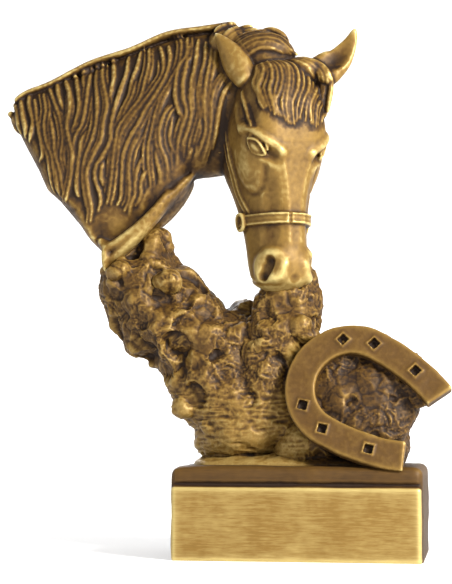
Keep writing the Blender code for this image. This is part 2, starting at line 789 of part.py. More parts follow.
def shoe_sections():
    """Corners of the branch's square section, from one heel around the toe to the other."""
    half = SHOE_THICKNESS / 2.0
    sections = []
    for i in range(SHOE_STEPS + 1):
        turn = SHOE_HEEL_ANGLE + (2.0 * math.pi - 2.0 * SHOE_HEEL_ANGLE) * i / SHOE_STEPS
        centre, outward = shoe_line(turn)
        corners = []
        for across, deep in ((1.0, -1.0), (1.0, 1.0), (-1.0, 1.0), (-1.0, -1.0)):
            corners.append(centre + outward * across * SHOE_BRANCH / 2.0 + Vector((0.0, deep * half, 0.0)))
        sections.append(corners)
    return sections


def shoe_matrix():
    """The shoe's place: sunk a little in the plinth, its foot set back from the plinth's front."""
    turned = Matrix.Rotation(-SHOE_LEAN, 4, "X") @ Matrix.Rotation(-SHOE_ROLL, 4, "Y")
    corners = [turned @ corner for section in shoe_sections() for corner in section]
    low = min(corner.z for corner in corners)
    front = min(corner.y for corner in corners)
    y = -PLINTH_DEPTH / 2.0 + SHOE_SETBACK - front
    place = Vector((SHOE_ACROSS, y, PLINTH_HEIGHT - SHOE_SUNK - low))
    return Matrix.Translation(place) @ turned


def shoe_seat():
    """Rock behind the shoe, which grips its back: a flat boss and a ridge along the upper branch."""
    place = figure_stand().inverted() @ shoe_matrix()
    front = SHOE_THICKNESS / 2.0 - SEAT_GRIP
    boss = sphere_mesh(32, 24)
    points = np.array([vertex.co for vertex in boss.verts])
    points[:, 1] = np.sign(points[:, 1]) * np.abs(points[:, 1]) ** 0.5
    points *= (SHOE_LENGTH / 2.0 - SEAT_MARGIN, SEAT_DEPTH / 2.0, SHOE_WIDTH / 2.0 - SEAT_MARGIN)
    points[:, 1] += front + SEAT_DEPTH / 2.0
    set_points(boss, points)
    bmesh.ops.transform(boss, matrix=place, verts=boss.verts)
    stations = []
    for degrees, inward in ((150.0, 0.0), (120.0, 0.05), (90.0, 0.1), (68.0, 0.18), (47.0, 0.3)):
        centre, outward = shoe_line(math.radians(degrees))
        centre -= outward * SHOE_BRANCH * inward
        back = front + SEAT_DEPTH / 4.0
        stations.append((centre.x, back, centre.z, SHOE_BRANCH / 2.0 + SEAT_MARGIN, SEAT_DEPTH / 4.0))
    ridge = limb(stations, around=16, along=32)
    bmesh.ops.transform(ridge, matrix=place, verts=ridge.verts)
    return [boss, ridge]


def horseshoe(cutters):
    """A flat horseshoe with six square nail recesses, leaning back on the rock."""
    form = bmesh.new()
    loops = []
    for section in shoe_sections():
        corners = [form.verts.new(corner) for corner in section]
        loops.append([form.edges.new((corners[j], corners[(j + 1) % 4])) for j in range(4)])
    for first, second in zip(loops, loops[1:]):
        bmesh.ops.bridge_loops(form, edges=first + second)
    for end in (loops[0], loops[-1]):
        bmesh.ops.contextual_create(form, geom=end)
    bmesh.ops.recalc_face_normals(form, faces=form.faces)
    mesh = bpy.data.meshes.new("shoe")
    form.to_mesh(mesh)
    form.free()
    shoe = bpy.data.objects.new("shoe", mesh)
    cutters.objects.link(shoe)
    bevel(shoe, SHOE_EDGE, 1)
    evaluated(shoe)
    for degrees in NAIL_HOLE_ANGLES:
        for branch in (1.0, -1.0):
            centre, _ = shoe_line(math.radians(degrees) * branch)
            hole_size = (NAIL_HOLE_SIZE, NAIL_HOLE_DEPTH * 2.0, NAIL_HOLE_SIZE)
            front = centre - Vector((0.0, SHOE_THICKNESS / 2.0, 0.0))
            hole = box("nail_hole", cutters, hole_size, front)
            boolean(shoe, hole, "DIFFERENCE")
    shoe.data.transform(shoe_matrix())
    return shoe


def clear_scene():
    for owner in list(bpy.data.objects):
        bpy.data.objects.remove(owner, do_unlink=True)


def main():
    clear_scene()
    scene = bpy.context.scene
    scene.unit_settings.system = "METRIC"
    collection = bpy.data.collections.new("horse_trophy")
    cutters = bpy.data.collections.new("helpers")
    scene.collection.children.link(collection)
    scene.collection.children.link(cutters)
    casting = plinth(collection, cutters)
    figure = figure_mesh(cutters)
    shoe = horseshoe(cutters)
    boolean(casting, figure, "UNION")
    boolean(casting, shoe, "UNION")
    casting.data.materials.clear()
    casting.data.materials.append(material("antique_gold_resin", (0.32, 0.22, 0.10), 0.45, 0.35))
    for helper in cutters.objects:
        helper.hide_render = True
        helper.display_type = "WIRE"


main()
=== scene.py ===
"""Horse trophy, finished: the cast relief in full and its antique gold paint."""

import math

import bmesh
import bpy
import numpy as np
from bpy.props import FloatProperty, FloatVectorProperty, IntProperty, PointerProperty
from mathutils import Matrix, Vector, noise
from mathutils.bvhtree import BVHTree


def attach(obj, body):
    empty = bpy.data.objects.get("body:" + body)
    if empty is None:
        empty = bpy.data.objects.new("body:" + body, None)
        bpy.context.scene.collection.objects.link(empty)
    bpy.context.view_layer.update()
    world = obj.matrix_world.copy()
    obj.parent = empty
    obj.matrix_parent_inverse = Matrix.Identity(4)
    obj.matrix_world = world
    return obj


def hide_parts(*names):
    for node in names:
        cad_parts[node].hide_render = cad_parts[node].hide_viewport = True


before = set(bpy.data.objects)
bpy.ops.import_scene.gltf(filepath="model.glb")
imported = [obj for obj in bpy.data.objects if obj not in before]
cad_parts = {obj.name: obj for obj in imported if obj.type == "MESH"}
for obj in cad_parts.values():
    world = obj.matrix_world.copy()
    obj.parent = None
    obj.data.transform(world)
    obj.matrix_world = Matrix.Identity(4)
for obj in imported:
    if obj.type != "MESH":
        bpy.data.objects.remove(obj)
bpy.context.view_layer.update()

bl_info = {
    "name": "Horse trophy finish",
    "version": (1, 0, 0),
    "blender": (4, 5, 0),
    "location": "3D View > Sidebar > Trophy",
    "description": "Builds the horse, rock, horseshoe and plinth of a cast award with their paint",
    "category": "Object",
}

CASTING = "horse_trophy"
MM = 0.001

# The free forms are in millimetres of a figure this tall above the plinth, whose own height
# comes last: the photograph's camera sees the figure at this size
FIGURE_UNITS = 124.7
FIGURE_SHIFT = -1.2
PHOTO_PLINTH = 24.7

# The photograph's camera: distance, way round, tilt, and the point in the frame's middle
CAMERA_DISTANCE = 0.45
CAMERA_TURN = math.radians(9.0)
CAMERA_TILT = math.radians(4.4)
PICTURE_SCALE = 0.0002778
PICTURE_WIDTH = 452
PICTURE_HEIGHT = 584
MIDDLE_LEFT = 77.5 * PICTURE_SCALE
MIDDLE_HEIGHT = 0.0724
SENSOR = 36.0

# Head: where the forehead's front line stands in plan, and its stations by share of its length:
# front line, rear line, half width, front narrowing, squareness
HEAD_TOP = 112.3
HEAD_FRONT = (1.5, -14.0)
HEAD_YAW = math.radians(54.0)
HEAD_STATIONS = (
    (0.00, -7.0, -20.0, 7.0, 0.00, 2.2),
    (0.08, -3.5, -24.0, 9.6, 0.00, 2.3),
    (0.18, -0.8, -28.0, 11.6, 0.00, 2.7),
    (0.28, 0.0, -30.0, 12.6, 0.00, 3.2),
    (0.38, -0.1, -31.0, 12.5, 0.00, 3.3),
    (0.48, -0.8, -28.5, 11.0, 0.10, 3.0),
    (0.58, -1.4, -24.0, 9.4, 0.25, 2.8),
    (0.69, -1.8, -20.2, 8.3, 0.33, 2.7),
    (0.80, -1.8, -18.5, 7.8, 0.28, 2.6),
    (0.90, -1.5, -17.6, 7.9, 0.12, 2.6),
    (0.96, -2.6, -17.2, 7.2, 0.00, 2.4),
    (1.00, -5.0, -14.0, 5.5, 0.00, 2.2),
)

# Outline of the neck's far end: height and side place
NECK_END = (
    (50.0, -54.5),
    (58.0, -56.8),
    (63.0, -61.2),
    (71.0, -65.4),
    (77.0, -72.0),
    (84.5, -75.0),
    (92.5, -79.8),
    (98.0, -83.2),
    (104.0, -84.2),
)

# Mane: where each lock springs from the crest and where it ends, from the poll to the far end
MANE_ROOTS = (
    (0.00, -17.7, 124.0),
    (0.13, -26.6, 122.9),
    (0.26, -36.7, 121.8),
    (0.42, -48.3, 117.4),
    (0.58, -60.0, 114.0),
    (0.74, -71.7, 108.3),
    (0.88, -79.5, 105.4),
    (1.00, -84.0, 101.5),
)
MANE_TIPS = (
    (0.00, -22.7, 87.0),
    (0.13, -28.8, 80.0),
    (0.20, -32.5, 76.0),
    (0.26, -36.7, 72.0),
    (0.30, -40.0, 69.8),
    (0.34, -44.0, 67.5),
    (0.38, -48.5, 68.5),
    (0.42, -53.5, 67.5),
    (0.50, -58.0, 68.5),
    (0.58, -61.5, 71.8),
    (0.74, -65.5, 74.6),
    (0.88, -74.0, 84.0),
    (1.00, -83.0, 97.0),
)

# Strands of the mane on the near side, from the crest down, as points read in the photograph's
# frame of 452 by 584 pixels, and the plane for those past the neck's outline
MANE_PLANE = -1.0
MANE_POINTS = (
    ((8.5, 112.5), (13.5, 117.0), (16.5, 126.5), (18.0, 132.0)),
    ((14.0, 104.0), (18.0, 111.0), (19.5, 124.0), (22.5, 135.0)),
    ((21.0, 100.0), (23.0, 115.5), (26.0, 129.5), (26.5, 139.0)),
    ((28.0, 92.5), (30.0, 107.0), (33.5, 121.0), (31.5, 133.5), (30.0, 143.5)),
    ((34.5, 98.5), (37.0, 115.5), (39.5, 131.0), (42.0, 143.5), (43.0, 154.5), (39.5, 163.0)),
    ((43.5, 93.0), (46.5, 110.0), (45.0, 126.5), (47.5, 143.5), (52.0, 154.5), (54.0, 168.5),
     (56.0, 182.5), (59.0, 194.0)),
    ((48.5, 110.0), (52.5, 126.5), (54.5, 140.5), (56.0, 154.5), (60.5, 171.5), (62.5, 185.5),
     (64.5, 197.0)),
    ((49.0, 87.5), (55.5, 104.0), (61.0, 121.0), (63.5, 139.0), (61.5, 157.5), (64.0, 171.5),
     (63.0, 185.5)),
    ((57.5, 83.0), (59.5, 98.5), (64.5, 112.5)),
    ((64.0, 79.0), (69.5, 93.0), (70.5, 110.0), (68.0, 126.5), (70.0, 139.0), (73.0, 153.5),
     (72.0, 171.5), (68.5, 188.5), (66.5, 204.0)),
    ((73.5, 74.0), (78.5, 90.0), (80.0, 105.5), (77.0, 121.0), (73.0, 132.0), (72.5, 143.5)),
    ((83.0, 69.0), (84.0, 81.5), (85.5, 93.0)),
    ((90.0, 65.0), (89.0, 86.0), (86.5, 107.0), (83.0, 124.0), (76.5, 136.5), (73.5, 150.5),
     (73.0, 168.5), (72.5, 188.5)),
    ((90.0, 128.0), (83.0, 140.5), (80.5, 154.5), (78.0, 171.5), (77.0, 188.5), (79.5, 198.0)),
    ((95.5, 63.5), (97.0, 81.5), (98.0, 104.0), (97.0, 124.0), (92.5, 140.5), (86.0, 157.5),
     (83.0, 174.5), (85.0, 195.5), (89.0, 216.5)),
    ((101.5, 62.0), (103.0, 79.0), (107.5, 104.0), (104.0, 124.0), (101.5, 140.5), (93.5, 156.0),
     (87.5, 171.5), (88.5, 191.0), (91.5, 208.0), (90.0, 223.5)),
    ((112.0, 58.0), (114.5, 76.0), (112.0, 90.0), (109.5, 104.0)),
    ((103.5, 160.5), (101.5, 173.0), (103.5, 187.0)),
    ((128.5, 54.5), (127.0, 73.5), (121.5, 90.0), (116.5, 105.5), (112.0, 126.5), (111.0, 140.5),
     (104.0, 154.5), (97.0, 166.0), (95.5, 178.5), (100.5, 197.0), (98.0, 212.5)),
    ((141.0, 49.0), (138.0, 66.5), (133.0, 80.5), (129.5, 96.0), (122.0, 111.0), (115.5, 126.5),
     (113.5, 140.5)),
    ((150.0, 47.5), (149.5, 65.0), (145.5, 83.0), (141.0, 98.5), (130.5, 112.5), (120.0, 126.5),
     (116.5, 140.5), (113.5, 160.5), (112.0, 177.0), (109.5, 194.0), (106.5, 205.0)),
    ((160.0, 46.0), (163.5, 59.5), (163.5, 73.5), (156.5, 86.0), (146.0, 100.0), (135.5, 114.0),
     (123.5, 131.0), (118.0, 146.5), (115.5, 160.5), (114.5, 181.5), (112.0, 198.0)),
    ((168.5, 45.5), (170.5, 59.5), (167.0, 76.0), (157.0, 94.5), (146.5, 110.0), (139.0, 124.0),
     (130.5, 138.0), (124.0, 154.5), (122.0, 174.5), (121.0, 195.5), (116.5, 206.5)),
    ((176.5, 34.0), (182.0, 46.5), (179.5, 65.0), (171.0, 80.5), (162.0, 96.0), (156.0, 112.5),
     (152.0, 129.5), (148.5, 146.5), (148.5, 167.5), (150.5, 185.5), (148.5, 201.0)),
    ((186.5, 35.5), (187.5, 55.0), (179.0, 69.0), (176.5, 84.5), (176.0, 97.0), (179.0, 110.0),
     (184.0, 121.0), (179.0, 135.0), (176.5, 150.5)),
    ((173.5, 104.0), (164.5, 115.5), (159.5, 131.0), (160.5, 146.5), (165.5, 160.5), (167.0, 177.0),
     (165.5, 191.0), (160.5, 202.5)),
    ((173.0, 114.0), (170.5, 129.5), (170.0, 142.0), (175.5, 157.5), (174.5, 174.5), (172.5, 191.0),
     (168.5, 204.0)),
    ((191.5, 41.0), (187.0, 65.0), (184.0, 83.0), (184.0, 98.5), (187.0, 112.5), (182.5, 126.5),
     (178.5, 140.5), (176.5, 156.0), (177.5, 171.5), (175.5, 188.5), (171.0, 201.0)),
    ((199.0, 38.0), (195.5, 66.5), (192.0, 83.0), (191.0, 98.5), (191.5, 115.5), (188.0, 129.5),
     (182.5, 143.5), (179.5, 157.5), (180.0, 173.0)),
    ((206.0, 41.0), (205.0, 60.5), (201.0, 76.0), (198.0, 93.0), (198.0, 110.0), (194.0, 126.5),
     (189.5, 142.0), (188.0, 154.5), (185.0, 169.0), (180.5, 176.0)),
    ((212.0, 46.5), (210.5, 62.0), (207.5, 79.0), (205.0, 96.0), (205.0, 112.5), (206.0, 129.5),
     (202.0, 143.5), (196.5, 157.5), (191.5, 171.5), (186.0, 183.0)),
    ((218.0, 62.0), (213.0, 76.0), (208.5, 90.0), (206.5, 104.0), (207.0, 118.0), (205.0, 132.5),
     (199.0, 146.5), (198.0, 157.5)),
    ((226.0, 72.0), (216.5, 86.0), (212.0, 101.5), (211.5, 118.0), (209.5, 135.0), (206.0, 149.0),
     (201.0, 164.5), (195.5, 174.5)),
    ((233.0, 80.5), (224.0, 93.0), (219.5, 107.0), (216.5, 124.0), (214.0, 139.5), (212.0, 150.5)),
    ((146.5, 150.5), (138.0, 167.5), (135.5, 181.5), (134.5, 194.0), (130.5, 205.0), (129.5, 216.5)),
    ((145.0, 121.0), (139.0, 136.5), (132.0, 150.5), (129.0, 167.5), (129.5, 183.0), (129.0, 199.5),
     (123.5, 212.5)),
    ((154.5, 143.5), (157.0, 160.5), (160.5, 176.0), (158.5, 191.0), (156.5, 202.5)),
    ((148.0, 167.5), (141.0, 181.5), (140.5, 195.5), (134.5, 206.5)),
    ((150.0, 185.5), (145.0, 197.0), (141.5, 208.0), (137.5, 216.5)),
    ((193.5, 143.5), (188.0, 157.5), (184.0, 166.0)),
    ((199.0, 140.5), (196.5, 152.0), (193.5, 166.0), (188.0, 178.5)),
)

# Strands of the forelock, from the poll down, in the same frame, and the plane they lie in
FORELOCK_PLANE = -8.0
FORELOCK_POINTS = (
    ((244.0, 93.0), (246.0, 102.0), (250.0, 113.0), (253.0, 124.0), (256.5, 133.0)),
    ((258.5, 66.5), (259.5, 77.0), (257.0, 88.0), (262.5, 99.0), (265.0, 108.5), (269.0, 116.0)),
    ((262.5, 65.0), (266.5, 74.0), (265.0, 83.5), (262.0, 93.0), (267.0, 103.5), (272.0, 114.5)),
    ((267.0, 62.5), (273.5, 72.5), (275.0, 83.5), (273.5, 96.0), (276.5, 108.5), (279.5, 122.5)),
    ((272.0, 61.5), (281.0, 70.0), (284.5, 82.0), (283.0, 96.0), (279.5, 108.5), (286.0, 124.0)),
    ((276.5, 60.5), (287.5, 68.5), (290.5, 82.0), (290.0, 96.0), (289.0, 111.5), (292.0, 130.0)),
    ((281.0, 60.0), (293.5, 67.0), (298.5, 79.0), (298.5, 93.0), (294.5, 108.5), (297.0, 130.0)),
    ((285.0, 58.5), (301.5, 67.0), (307.5, 79.0), (308.5, 91.0), (304.5, 105.0), (301.5, 124.0)),
    ((288.0, 58.0), (307.0, 67.0), (314.0, 80.5), (314.0, 93.0), (311.0, 108.5), (312.5, 127.0)),
    ((290.5, 56.5), (311.0, 64.5), (320.0, 75.5), (321.5, 89.5), (317.0, 108.5), (317.0, 130.0)),
    ((293.5, 55.5), (314.0, 62.0), (325.0, 72.5), (327.0, 85.0), (324.0, 102.0), (321.5, 124.0)),
    ((298.5, 55.5), (318.5, 62.5), (328.0, 73.5), (330.0, 85.0), (328.5, 99.0), (327.0, 111.5)),
)

# Strands that arch over the poll from left to right, in the same frame, and their plane
TUFT_PLANE = -3.0
TUFT_POINTS = (
    ((228.5, 54.0), (236.0, 44.5), (245.5, 38.5), (256.5, 35.0), (267.0, 32.5), (276.5, 32.5)),
    ((233.0, 57.0), (242.5, 47.5), (253.0, 41.5), (265.5, 38.5), (276.5, 38.5), (286.0, 43.0),
     (292.0, 51.0)),
    ((236.0, 60.0), (245.5, 51.5), (256.5, 45.5), (269.0, 43.0), (279.5, 44.5), (289.0, 51.0),
     (298.5, 55.5)),
    ((242.5, 61.5), (250.0, 54.0), (259.5, 48.5), (272.0, 47.0), (283.0, 50.0), (292.0, 56.0)),
    ((247.0, 63.5), (255.0, 56.5), (264.0, 52.5), (275.0, 52.5), (286.0, 56.0)),
    ((222.0, 44.5), (228.5, 35.0), (236.0, 29.0), (245.5, 25.5), (251.5, 24.5)),
    ((227.0, 47.5), (234.5, 40.0), (242.5, 33.5), (251.5, 30.0), (258.0, 29.5)),
    ((214.5, 33.5), (220.5, 28.0), (228.5, 23.5), (232.0, 24.5)),
    ((256.5, 35.0), (267.0, 30.5), (275.0, 31.0), (283.0, 36.0), (289.0, 44.5)),
)


def srgb(text):
    """Linear colour from an sRGB hex text."""
    values = [int(text[i:i + 2], 16) / 255.0 for i in (0, 2, 4)]
    return tuple(v / 12.92 if v <= 0.04045 else ((v + 0.055) / 1.055) ** 2.4 for v in values)


class TrophySizes(bpy.types.PropertyGroup):
    """Sizes that a user would change."""

    plinth_width: FloatProperty(name="Plinth width", description="Side to side", default=0.0666, unit="LENGTH")
    plinth_depth: FloatProperty(name="Plinth depth", description="Front to back", default=0.0440, unit="LENGTH")
    plinth_height: FloatProperty(name="Plinth height", description="Floor to top", default=PHOTO_PLINTH * MM, unit="LENGTH")
    plinth_rounding: FloatProperty(name="Plinth rounding", description="Edge radius", default=0.0022, unit="LENGTH")
    tablet_side: FloatProperty(name="Tablet side margin", description="Plinth beside it", default=0.0003, unit="LENGTH")
    tablet_top: FloatProperty(name="Tablet top margin", description="Plinth above it", default=0.0051, unit="LENGTH")
    tablet_proud: FloatProperty(name="Tablet height", description="How far it stands out", default=0.0010, unit="LENGTH")
    tablet_bevel: FloatProperty(name="Tablet bevel", description="Width of its edge", default=0.0007, unit="LENGTH")
    groove: FloatProperty(name="Groove", description="Height of the groove over the tablet", default=0.0012, unit="LENGTH")
    figure_height: FloatProperty(name="Figure height", description="Horse and rock", default=0.1247, unit="LENGTH")
    head_length: FloatProperty(name="Head length", description="In figure millimetres", default=65.8)
    strand: FloatProperty(name="Strand", description="Half width in figure millimetres", default=0.95)
    far_locks: IntProperty(name="Far locks", description="Locks on the far side", default=26)
    shoe_length: FloatProperty(name="Shoe length", description="Toe to heels", default=0.0392, unit="LENGTH")
    shoe_width: FloatProperty(name="Shoe width", description="Across the branches", default=0.0352, unit="LENGTH")
    shoe_branch: FloatProperty(name="Branch width", description="Width of the iron", default=0.0080, unit="LENGTH")
    shoe_thickness: FloatProperty(name="Shoe thickness", description="Of the iron", default=0.0040, unit="LENGTH")
    nail_hole: FloatProperty(name="Nail hole", description="Side of a square hole", default=0.0024, unit="LENGTH")


class TrophyColours(bpy.types.PropertyGroup):
    """Colours of the paint."""

    wash: FloatVectorProperty(name="Wash", description="Dark wash in the recesses", subtype="COLOR", default=srgb("1E1106"))
    umber: FloatVectorProperty(name="Umber", description="Brown ground coat", subtype="COLOR", default=srgb("46300F"))
    bronze: FloatVectorProperty(name="Bronze", description="Thin gold over brown", subtype="COLOR", default=srgb("705627"))
    gold: FloatVectorProperty(name="Gold", description="Full gold on the edges", subtype="COLOR", default=srgb("B3A066"))


def smooth_table(table, shares):
    """Read the columns of a table at the given shares along smooth curves."""
    keys = np.array([row[0] for row in table])
    values = np.array([row[1:] for row in table])
    slopes = np.gradient(values, keys, axis=0)
    shares = np.clip(np.asarray(shares, dtype=float), keys[0], keys[-1])
    left = np.clip(np.searchsorted(keys, shares, side="right") - 1, 0, len(keys) - 2)
    width = keys[left + 1] - keys[left]
    t = ((shares - keys[left]) / width)[:, None]
    width = width[:, None]
    rise = (2 * t**3 - 3 * t**2 + 1) * values[left] + (3 * t**2 - 2 * t**3) * values[left + 1]
    bend = (t**3 - 2 * t**2 + t) * slopes[left] + (t**3 - t**2) * slopes[left + 1]
    return rise + bend * width


def along_path(path, share):
    """A place on a path of any number of values, read smoothly."""
    table = [(i / (len(path) - 1), *row) for i, row in enumerate(path)]
    return smooth_table(table, [share])[0]


def sphere_mesh(around, along):
    """A round ball to be moulded: its poles are the two ends of the form."""
    ball = bmesh.new()
    bmesh.ops.create_uvsphere(ball, u_segments=around, v_segments=along, radius=1.0)
    return ball


def ball_shares(ball):
    """Share along the axis and angle around it, for every vertex of a ball."""
    points = np.array([vertex.co for vertex in ball.verts])
    share = np.arccos(np.clip(points[:, 2], -1.0, 1.0)) / math.pi
    angle = np.arctan2(points[:, 1], points[:, 0])
    return share, angle


def set_points(ball, points):
    for vertex, point in zip(ball.verts, points):
        vertex.co = Vector(point)


def rounded_end(share, length):
    """Radius factor that closes both ends of a form with half circles."""
    from_end = np.minimum(share, 1.0 - share) / length
    return np.sqrt(np.clip(1.0 - (1.0 - np.clip(from_end, 0.0, 1.0)) ** 2, 0.0, 1.0))


def limb(stations, around=32, along=48, end=0.12, side=(0.0, 1.0, 0.0), lobes=0, lobe_depth=0.0):
    """A smooth form along stations of x, y, z, half width and half depth.

    The half width lies across the path and the half depth along side. Lobes groove the form
    lengthways, as a comb does.
    """
    ball = sphere_mesh(around, along)
    share, angle = ball_shares(ball)
    table = [(i / (len(stations) - 1), *row) for i, row in enumerate(stations)]
    row = smooth_table(table, share)
    step = 0.01
    tangent = smooth_table(table, share + step)[:, :3] - smooth_table(table, share - step)[:, :3]
    tangent /= np.linalg.norm(tangent, axis=1)[:, None] + 1e-9
    across = np.cross(tangent, np.array(side))
    across /= np.linalg.norm(across, axis=1)[:, None] + 1e-9
    deep = np.cross(across, tangent)
    close = rounded_end(share, end) * (1.0 + lobe_depth * np.cos(lobes * angle))
    offset = across * (row[:, 3] * close * np.cos(angle))[:, None]
    offset += deep * (row[:, 4] * close * np.sin(angle))[:, None]
    set_points(ball, row[:, :3] + offset)
    return ball


def blob(centre, radii, turn=0.0, around=20, along=14):
    """A ball squashed to three radii and turned in the picture plane."""
    ball = sphere_mesh(around, along)
    placed = Matrix.Translation(centre) @ Matrix.Rotation(turn, 4, "Y") @ Matrix.Diagonal((*radii, 1.0))
    bmesh.ops.transform(ball, matrix=placed, verts=ball.verts)
    return ball


def press(points, centre, radius, offset):
    """Move the points near a centre by an offset that fades out at the radius."""
    distance = np.linalg.norm(points - np.array(centre), axis=1) / radius
    weight = np.clip(1.0 - distance**2, 0.0, 1.0) ** 2
    points += weight[:, None] * np.array(offset)


def join(forms):
    """One mesh from many overlapping forms."""
    whole = bmesh.new()
    for form in forms:
        scrap = bpy.data.meshes.new("scrap")
        form.to_mesh(scrap)
        form.free()
        whole.from_mesh(scrap)
        bpy.data.meshes.remove(scrap)
    return whole


def new_object(name, form):
    """Link a bmesh to the scene as an object and free it."""
    mesh = bpy.data.meshes.new(name)
    form.to_mesh(mesh)
    form.free()
    made = bpy.data.objects.new(name, mesh)
    bpy.context.scene.collection.objects.link(made)
    return made


def bake(owner):
    """Bake an object's modifiers into its mesh."""
    graph = bpy.context.evaluated_depsgraph_get()
    baked = bpy.data.meshes.new_from_object(owner.evaluated_get(graph))
    old = owner.data
    owner.modifiers.clear()
    owner.data = baked
    bpy.data.meshes.remove(old)


def reskin(owner, voxel, rounds=1):
    """One closed skin over everything in the object, lightly smoothed."""
    skin = owner.modifiers.new("skin", "REMESH")
    skin.mode = "VOXEL"
    skin.voxel_size = voxel
    soft = owner.modifiers.new("soft", "SMOOTH")
    soft.factor = 0.5
    soft.iterations = rounds
    bake(owner)
    keep_largest(owner.data)


def keep_largest(mesh):
    """Drop closed scraps that the skin left apart from the main body."""
    count = len(mesh.vertices)
    ends = edge_ends(mesh)
    label = np.arange(count)
    while True:
        low = np.minimum(label[ends[:, 0]], label[ends[:, 1]])
        before = label.copy()
        np.minimum.at(label, ends[:, 0], low)
        np.minimum.at(label, ends[:, 1], low)
        label = label[label]
        if np.array_equal(before, label):
            break
    names, sizes = np.unique(label, return_counts=True)
    if len(names) == 1:
        return
    main = names[np.argmax(sizes)]
    whole = bmesh.new()
    whole.from_mesh(mesh)
    whole.verts.ensure_lookup_table()
    scraps = [whole.verts[int(i)] for i in np.nonzero(label != main)[0]]
    bmesh.ops.delete(whole, geom=scraps, context="VERTS")
    whole.to_mesh(mesh)
    whole.free()


def thin_out(owner, triangles):
    """Spend a piece's triangles where its relief needs them."""
    now = sum(len(face.vertices) - 2 for face in owner.data.polygons)
    if now > triangles:
        fewer = owner.modifiers.new("fewer", "DECIMATE")
        fewer.ratio = triangles / now
        bake(owner)


def mesh_points(mesh):
    points = np.empty(len(mesh.vertices) * 3)
    mesh.vertices.foreach_get("co", points)
    return points.reshape(-1, 3)


def mesh_normals(mesh):
    normals = np.empty(len(mesh.vertices) * 3)
    mesh.vertices.foreach_get("normal", normals)
    return normals.reshape(-1, 3)


def put_points(mesh, points):
    mesh.vertices.foreach_set("co", points.ravel())
    mesh.update()


def edge_ends(mesh):
    ends = np.empty(len(mesh.edges) * 2, dtype=np.int64)
    mesh.edges.foreach_get("vertices", ends)
    return ends.reshape(-1, 2)


def spread(values, ends, count, rounds):
    """Average values with their neighbours, many times over."""
    degree = np.bincount(ends.ravel(), minlength=count)[:, None]
    values = values.copy()
    for _ in range(rounds):
        total = np.empty_like(values)
        for column in range(values.shape[1]):
            from_first = np.bincount(ends[:, 1], weights=values[ends[:, 0], column], minlength=count)
            from_second = np.bincount(ends[:, 0], weights=values[ends[:, 1], column], minlength=count)
            total[:, column] = from_first + from_second
        values = 0.5 * values + 0.5 * total / np.maximum(degree, 1)
    return values


def relief(mesh, rounds):
    """How far each point stands out of its smoothed surroundings, in the mesh's own units."""
    points = mesh_points(mesh)
    smoothed = spread(points, edge_ends(mesh), len(points), rounds)
    return np.sum((points - smoothed) * mesh_normals(mesh), axis=1)


def rub_gold(mesh, zone, fine=6.0, broad=1.2, fine_rounds=5, broad_rounds=45, most=1.0):
    """Level of gold at every point, from 0 in the washed recesses to 1 on the rubbed ridges."""
    level = zone + fine * relief(mesh, fine_rounds) + broad * relief(mesh, broad_rounds)
    level = np.clip(level, 0.0, most)
    layer = mesh.attributes.new("gold", "FLOAT", "POINT")
    layer.data.foreach_set("value", level.astype(np.float32))


def figure_stand():
    """From figure millimetres to metres on top of the plinth."""
    sizes = bpy.context.scene.trophy_sizes
    scale = sizes.figure_height / FIGURE_UNITS
    stand = Matrix.Translation((FIGURE_SHIFT * scale, 0.0, sizes.plinth_height))
    return stand @ Matrix.Scale(scale, 4)


def smooth_faces(mesh):
    mesh.polygons.foreach_set("use_smooth", [True] * len(mesh.polygons))


def add_node(tree, kind, place, settings=None, inputs=None, links=()):
    """Add a node with its settings, plain inputs and links from other nodes' outputs."""
    node = tree.nodes.new(kind)
    node.location = place
    for name, value in (settings or {}).items():
        setattr(node, name, value)
    for name, value in (inputs or {}).items():
        node.inputs[name].default_value = value
    for output, name in links:
        tree.links.new(output, node.inputs[name])
    return node


def ramp_stops(node, stops):
    """Colours or greys of a ramp, as share and value."""
    elements = node.color_ramp.elements
    while len(elements) < len(stops):
        elements.new(0.5)
    for element, (share, value) in zip(elements, stops):
        element.position = share
        element.color = (*value, 1.0) if len(value) == 3 else value


